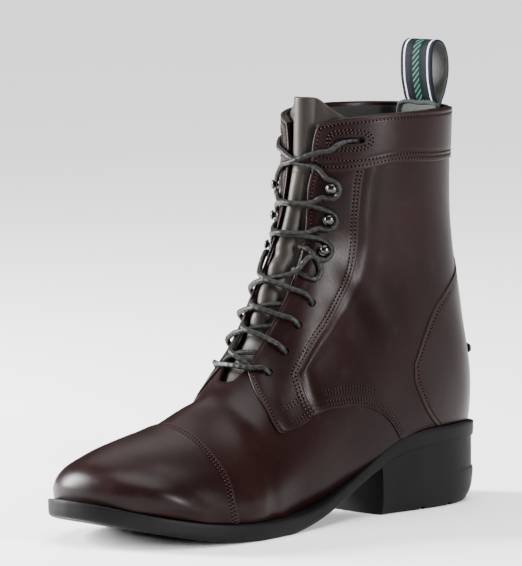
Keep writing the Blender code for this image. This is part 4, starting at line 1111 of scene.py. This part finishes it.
def directions(side, turn, v):
    """Outward normal, the way from the ridge to the side, and the way up, at a place on the form."""
    normal = outward(turn, v)
    up = ways(turn, v)[1]
    up = unit(up - normal * np.dot(up, normal))
    return normal, np.cross(up, normal) * side, up


def spot(side, turn, v, depth, aside=0.0, rise=0.0):
    """Point over a place on one side of the form, moved outwards, aside from the ridge and up in metres."""
    turn = mirrored(side, turn)
    normal, away, up = directions(side, turn, v)
    return form(turn, v) + away * aside + up * rise + normal * depth


def at_height(side, turn, height, depth):
    """Point over one side of the form, at a height above the floor."""
    v = zero_between(0.44, 1.09, lambda w: form(mirrored(side, turn), w)[..., 2] - height)
    return spot(side, turn, v, depth)


def smooth_path(points, step=0.0007):
    points = np.array(points)
    gone = lengths_along(points)
    return through(gone, points, np.linspace(0.0, gone[-1], max(8, int(gone[-1] / step))))


def cord_mesh(name, points, radius, finish):
    """Round cord along points, with its length and angle as values for the braid."""
    path = smooth_path(points)
    along = unit(np.gradient(path, axis=0))
    gone = lengths_along(path)
    angles = np.linspace(0.0, 2 * math.pi, 15)
    side = np.cross(along[0], [0.0, 0.0, 1.0])
    rings = []
    for point, line in zip(path, along):
        side = unit(side - line * np.dot(side, line))
        other = np.cross(line, side)
        rings.append(point + radius * (side * np.cos(angles)[:, None] + other * np.sin(angles)[:, None]))
    rings = np.array([np.repeat(path[:1], 15, axis=0)] + rings + [np.repeat(path[-1:], 15, axis=0)])
    gone = np.concatenate([gone[:1], gone, gone[-1:]])
    data = {"along": np.broadcast_to(gone[:, None], rings.shape[:2]),
            "around": np.broadcast_to(angles / (2 * math.pi), rings.shape[:2])}
    return grid_mesh(name, rings, finish, weld=True, data=data)


def height_of(turn, v):
    return float(form(turn, v)[2])


def out_of_hole(side, turn, v, rise):
    """Controls of a lace that comes out of a hole and turns to the ridge."""
    moves = ((-0.0030, 0.0006, -0.0004), (-0.0008, 0.0004, -0.0002), (LACE_ON, -0.0022, rise))
    return [spot(side, turn, v, *move) for move in moves]


def lace_points(side):
    """Controls of every visible length of lace that starts at a hole of one side."""
    over = 0.0042 if side == 1 else 0.0018
    heights = [height_of(turn, v) for turn, v in LACE_HOLES]
    runs = []
    for k in (0, 1, 2):
        low = heights[k]
        rise = heights[k + 1] - low
        if k:
            run = out_of_hole(side, *LACE_HOLES[k], 0.0008)
            run.append(at_height(side, 0.447, low + 0.42 * rise, LACE_ON + 0.0002))
        else:
            run = [at_height(side, 0.438, low + 0.10 * rise, -0.0036),
                   at_height(side, 0.458, low + 0.30 * rise, -0.0014)]
        run += [at_height(1, 0.5, low + 0.68 * rise, over if k else 0.0010 + 0.4 * over),
                at_height(-side, 0.462, low + 0.96 * rise, -0.0010),
                at_height(-side, 0.443, low + 1.04 * rise, -0.0036)]
        runs.append(run)
    chain = out_of_hole(side, *LACE_HOLES[3], 0.0012)
    here = side
    low = heights[3]
    for hook in LACE_HOOKS:
        centre = height_of(*hook)
        high = centre + HOOK_WRAP[0][1]
        chain += [at_height(here, 0.446, low + 0.34 * (high - low), LACE_ON),
                  at_height(1, 0.5, (low + high) / 2, over),
                  at_height(-here, 0.446, low + 0.72 * (high - low), LACE_ON)]
        here = -here
        chain += [spot(here, *hook, LACE_ON, *move) for move in HOOK_WRAP]
        low = centre + HOOK_WRAP[-1][1]
    slot = LACE_SLOT[0]
    high = height_of(*slot) - 0.002
    chain += [at_height(here, 0.446, low + 0.30 * (high - low), LACE_ON),
              at_height(1, 0.5, (low + high) / 2, over),
              at_height(-here, 0.450, low + 0.78 * (high - low), LACE_ON + 0.0004)]
    chain += [spot(-here, turn, slot[1] - down, depth) for turn, down, depth in INTO_SLOT]
    return runs + [chain]


def make_laces():
    """The visible lengths of the lace as one piece; hidden lengths inside the boot are left out."""
    hole = LACE_HOLES[0]
    low = height_of(*hole)
    half, other = ([spot(side, *hole, -0.0030, 0.0006), spot(side, *hole, -0.0006, 0.0003),
                    spot(side, *hole, LACE_RADIUS + 0.0001, -0.0026, 0.0004),
                    at_height(side, 0.448, low + 0.0012, LACE_ON)] for side in (1, -1))
    bar = half + [at_height(1, 0.5, low + 0.0016, 0.0022)] + other[::-1]
    slack = [spot(1, *row) for row in SLACK_TURN]
    paths = [bar, slack] + lace_points(1) + lace_points(-1)
    return join([cord_mesh("lace", path, LACE_RADIUS, CORD) for path in paths], "lace")


def make_hook(side, name, turn, v):
    """Domed gunmetal lace hook: a washer, a stem and a rounded head."""
    dome = [(0.0026 * math.cos(a), 0.0034 + 0.0016 * math.sin(a)) for a in np.linspace(0.0, math.pi / 2, 9)]
    profile = np.array(HOOK_FOOT + tuple(dome))[:, :, None, None]
    angles = np.linspace(0.0, 2 * math.pi, 29)
    turn = mirrored(side, turn)
    normal, aside, up = directions(side, turn, v)
    ring = np.cos(angles)[:, None] * aside + np.sin(angles)[:, None] * up
    return grid_mesh("lace_hook_" + name, form(turn, v) + profile[:, 0] * ring + profile[:, 1] * normal, METAL,
                     weld=True)


# Pull loop
def make_pull_loop():
    """The tape loop; returns it with the x of the face that the patch lies on, and the collar's height."""
    wall, _, collar = form(0.0, 1.0)
    first = wall + LOOP_INSET
    path = np.array([(first + x, collar + LOOP_RISE * rise) for x, rise in LOOP_PATH])
    line = through(np.arange(len(path)), path, np.linspace(0, len(path) - 1, 150))
    along = unit(np.gradient(line, axis=0))
    half = LOOP_WIDTH / 2
    thick = LOOP_THICK / 2
    flat = np.linspace(-half + 0.0006, half - 0.0006, 23)
    section = [(y, thick, 1.0) for y in flat] + [(half - a, thick * b, c) for a, b, c in TAPE_EDGE]
    section += [(y, -thick, 0.0) for y in flat[::-1]] + [(a - half, thick * b, c) for a, b, c in TAPE_EDGE[::-1]]
    across, offset, inside = np.array(section + section[:1]).T
    shape = len(line), len(across)
    points = np.stack([line[:, :1] + along[:, 1:] * offset, np.broadcast_to(across + LOOP_ASIDE, shape),
                       line[:, 1:] - along[:, :1] * offset], -1)
    data = {"along": lengths_along(line)[:, None], "across": across, "inside": inside}
    data = {key: np.broadcast_to(values, shape) for key, values in data.items()}
    loop = grid_mesh("pull_tape", points, TAPE, weld=True, data=data)
    return loop, first + LOOP_PATH[-1][0] + thick + 0.0003, collar


def make_patch(front, collar):
    """Cloth patch inside the collar that holds the tape, with its bound edge."""
    half = PATCH_WIDTH / 2
    top = collar + 0.0014
    foot = collar - PATCH_DROP

    def bowed(x, y, z):
        return [x + 0.0010 * (y / half) ** 2, y + LOOP_ASIDE, z]

    y, z = np.meshgrid(np.linspace(-half, half, 41), np.linspace(foot, top, 41))
    points = np.stack(bowed(front + 0.0013, y, z), -1)
    normals = np.broadcast_to((1.0, 0.0, 0.0), points.shape)
    points, normals, _ = rolled(points, normals, (True, True, True, True), 0.0004, 0.0013)
    cloth = grid_mesh("loop_patch_cloth", points, PATCH_CLOTH, facing=normals)
    corner = 0.0022
    edge = [(half, foot), (half, collar - 0.010), (half, top - corner), (half - corner * 0.3, top - corner * 0.3),
            (half - corner, top)]
    path = [(-y, z) for y, z in edge] + [(0.0, top + 0.0002)] + edge[::-1]
    return cloth, cord_mesh("patch_binding", [bowed(front + 0.0012, y, z) for y, z in path], 0.00115, BINDING)


# Sole and heel
def sole_edge(x):
    """Outer and inner edge of the sole at places x."""
    fine = through(np.linspace(0.0, 1.0, len(SOLE_OUTLINE)), SOLE_OUTLINE, np.linspace(0.0, 1.0, 1601))
    at = place(np.maximum.accumulate(fine[:, 0]))
    return np.interp(x, at, BALL_WIDTH * fine[:, 1]), np.interp(x, at, BALL_WIDTH * fine[:, 2])


def inset_loop(loop, margin):
    """Moves the points of a closed loop inwards."""
    line = unit(unit(loop - np.roll(loop, 1, axis=0)) + unit(np.roll(loop, -1, axis=0) - loop))
    return loop + np.stack([line[:, 1], -line[:, 0]], -1) * margin


def round_order(count):
    """Order of the points of a loop with count points on one side, so that its rows fold over both ends."""
    return [*range(count), count - 1, *range(count, 2 * count - 2), 0]


def capped(levels, top_height, low_height):
    """Rows from the middle of the top over the sides to the middle of the bottom."""
    caps = []
    for level, height in ((levels[0], top_height), (levels[-1], low_height)):
        middle = (level + level[::-1]) / 2
        cap = [middle + (level - middle) * share for share in (0.0, 0.35, 0.7, 0.92)]
        for row in cap:
            row[:, 2] = height(row[:, 0])
        caps.append(cap)
    return np.array(caps[0] + levels + caps[1][::-1])


def box_cutter(levels):
    """Closed box through levels of (x, half length, low y, high y, z), to be cut out of a tread."""
    rings = np.array([[(x - half, low, z), (x + half, low, z), (x + half, high, z), (x - half, high, z),
                       (x - half, low, z)] for x, half, low, high, z in levels])
    ends = [np.repeat(rings[i, :4].mean(0)[None, None], 5, axis=1) for i in (0, -1)]
    return grid_mesh("groove", np.concatenate([ends[0], rings, ends[1]]), RUBBER, weld=True)


def make_outsole():
    count = 150
    t = (1 - np.cos(np.linspace(0.0, math.pi, count))) / 2
    stations = place(t * 0.9 + np.linspace(0.0, 1.0, count) * 0.1)
    outer, inner = (np.stack([stations, edge], -1) for edge in sole_edge(stations))
    core = np.concatenate([outer, inner[::-1][1:-1]])
    over_heel = smooth_step(HEEL_BREAST + 0.012, HEEL_BREAST - 0.002, core[:, :1])
    over_heel = over_heel * smooth_step(HEEL_BACK + 0.004, HEEL_BACK + 0.022, core[:, :1])
    levels = []
    for share, margin in SOLE_SIDE:
        inset = margin * (1 - over_heel) + np.minimum(margin, 0.0003) * over_heel
        shape = inset_loop(core, inset)[round_order(count)]
        x = shape[:, 0]
        levels.append(np.column_stack([shape, seat(x) * (1 - share) + underside(x) * share]))
    sole = grid_mesh("outsole_moulded", capped(levels, seat, underside), RUBBER, weld=True)
    cutters = []
    for k in range(GROOVES):
        x = place(GROOVE_START) + GROOVE_PITCH * k
        high, low = (float(edge) for edge in sole_edge(x))
        top = float(underside(x)) + GROOVE_DEEP
        cutters.append(box_cutter([(x, half, low + GROOVE_END, high - GROOVE_END, z)
                                   for z, half in ((-0.010, 0.0015), (top - 0.0004, 0.0015), (top, 0.0011))]))
    return cut(sole, cutters)


def heel_top(x):
    return underside(x) - 0.0001


def make_heel():
    stations = HEEL_BACK + (HEEL_BREAST - HEEL_BACK) * (1 - np.cos(np.linspace(0.0, math.pi / 2, 70)))
    outer, inner = (np.stack([stations, edge], -1) for edge in sole_edge(stations))
    share = np.linspace(0.0, 1.0, 16)[1:-1]
    corner = 0.0012 * np.sin(math.pi * share) ** 0.25
    breast = np.stack([HEEL_BREAST + corner, outer[-1, 1] + (inner[-1, 1] - outer[-1, 1]) * share], -1)
    loop = np.concatenate([outer, breast, inner[::-1]])
    to_back = np.clip((HEEL_BREAST - loop[:, 0]) / (HEEL_BREAST - HEEL_BACK), 0.0, 1.0)
    levels = []
    for height, margin, back_margin in HEEL_SIDE:
        x = loop[:, 0] + back_margin * to_back**3
        z = heel_top(x) if height is None else np.full(len(x), height * HEEL_STEP)
        x = x + BREAST_SLOPE * (1 - to_back) * z / HEEL_RISE
        if height is None:
            z = heel_top(x)
        levels.append(np.column_stack([x, loop[:, 1] * (1 - margin / (BALL_WIDTH * 0.35)), z]))
    levels.insert(1, levels[0] * 0.5 + levels[1] * 0.5)
    heel = grid_mesh("heel_moulded", capped(levels, heel_top, np.zeros_like), RUBBER, weld=True)
    return cut(heel, [box_cutter([(x, 0.0015, low, high, z) for z in (-0.01, 0.0016)])
                      for x in HEEL_NOTCHES for low, high in ((0.018, 0.05), (-0.05, -0.018))])


def make_insole():
    """Cloth-covered foot bed inside the boot."""
    lines = [even(FEATHER[side], 120) for side in (1, -1)]
    outer, inner = (form_at(line) - outward(line[:, 0], line[:, 1]) * 0.0050 for line in lines)
    core = np.concatenate([outer, inner[1:-1][::-1]])[:, :2]
    levels = []
    for margin, rise in ((0.0003, 0.0031), (0.0, 0.0027), (0.0, 0.0009), (0.0004, 0.0006)):
        shape = inset_loop(core, margin)[round_order(120)]
        levels.append(np.column_stack([shape, seat(shape[:, 0]) + rise]))
    return grid_mesh("foot_bed", capped(levels, lambda x: seat(x) + 0.0031, lambda x: seat(x) + 0.0006), LINING,
                     weld=True)


# The whole boot
def keep(piece, slot, *nodes):
    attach(piece, "root")
    if nodes:
        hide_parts(*nodes)


def make_boot():
    wall, lining = make_wall()
    keep(wall, "upper_leather", "upper")
    keep(lining, "lining")
    keep(make_cap(), "overlay_leather", "toe_cap")
    for side, name in ((1, "outer"), (-1, "inner")):
        keep(make_quarter(side, name), "overlay_leather", "quarter_" + name)
        keep(make_stay(side, name), "overlay_leather", "eyestay_" + name)
        keep(make_cuff(side, name), "overlay_leather", "cuff_" + name)
    keep(make_counter(), "overlay_leather", "counter")
    keep(make_gore(), "webbing", "back_gore")
    keep(make_spur_rest(), "rubber", "spur_rest")
    keep(make_tongue(), "tongue_leather", "tongue")
    keep(make_outsole(), "rubber", "outsole")
    keep(make_heel(), "rubber", "heel")
    keep(make_insole(), "lining", "insole")
    keep(make_laces(), "cord", *[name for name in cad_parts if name.startswith("lace")])
    for side, name in ((1, "outer"), (-1, "inner")):
        for number, (turn, v) in enumerate(LACE_HOOKS, 1):
            hook = "%s_%d" % (name, number)
            keep(make_hook(side, hook, turn, v), "gunmetal", "hook_" + hook)
    loop, front, collar = make_pull_loop()
    keep(loop, "webbing", "pull_loop")
    cloth, binding = make_patch(front, collar)
    keep(cloth, "lining", "loop_patch")
    keep(binding, "lining")
    for piece in stitched("stitching", stitch_rows()):
        keep(piece, None)


# Stage. Camera: degrees from the toe to the outer side and above the floor, aim, distance and focal length
VIEW_TURN = 45.0
VIEW_RISE = 6.0
VIEW_MIDDLE = (0.0994, -0.0053, 0.1213)
VIEW_FAR = 2.5
LENS = 312.4


def lamp(name, kind, **settings):
    data = bpy.data.lights.new(name, kind)
    for key, value in settings.items():
        setattr(data, key, value)
    made = link(name, data)
    return made


def area_light(name, spot, aim, wide, high, power):
    made = lamp(name, "AREA", shape="RECTANGLE", size=wide, size_y=high, energy=power)
    made.location = spot
    made.rotation_euler = (aim - spot).to_track_quat("-Z", "Y").to_euler()


def set_stage():
    """Pale floor, soft studio light and the camera at the photo's angle."""
    work = bmesh.new()
    bmesh.ops.create_grid(work, x_segments=4, y_segments=4, size=12.0)
    floor = put(work, "floor", plain("floor", (0.93, 0.93, 0.93), (0.95, 0.95, 0.95), 0.85, 3.0, 0.1))
    world = bpy.data.worlds.new("studio")
    world.use_nodes = True
    world.node_tree.nodes["Background"].inputs["Color"].default_value = (1.0, 1.0, 1.0, 1.0)
    world.node_tree.nodes["Background"].inputs["Strength"].default_value = 0.07
    bpy.context.scene.world = world
    turn = math.radians(VIEW_TURN)
    rise = math.radians(VIEW_RISE)
    back = Vector((math.sin(turn) * math.cos(rise), math.cos(turn) * math.cos(rise), math.sin(rise)))
    right = Vector((-math.cos(turn), math.sin(turn), 0.0))
    up = Vector((0.0, 0.0, 1.0))
    middle = Vector(VIEW_MIDDLE)
    area_light("left", middle - right * 1.25 - back * 0.30 + up * 0.42, middle, 0.36, 0.66, 120.0)
    area_light("strip", middle + back * 1.60 + right * 1.50 + up * 0.35, middle, 0.34, 1.0, 95.0)
    area_light("top", middle - back * 1.2 + up * 1.25, middle, 1.2, 0.7, 5.0)
    sun = lamp("sky", "SUN", energy=5.2, angle=math.radians(50.0))
    sun.rotation_euler = (math.radians(-6.0), math.radians(5.0), 0.0)
    view = bpy.data.cameras.new("camera")
    view.sensor_fit = "VERTICAL"
    view.sensor_height = 36.0
    view.lens = LENS
    camera = link("camera", view)
    camera.location = middle + back * VIEW_FAR
    camera.rotation_euler = (-back).to_track_quat("-Z", "Y").to_euler()
    bpy.context.scene.camera = camera


make_boot()
set_stage()
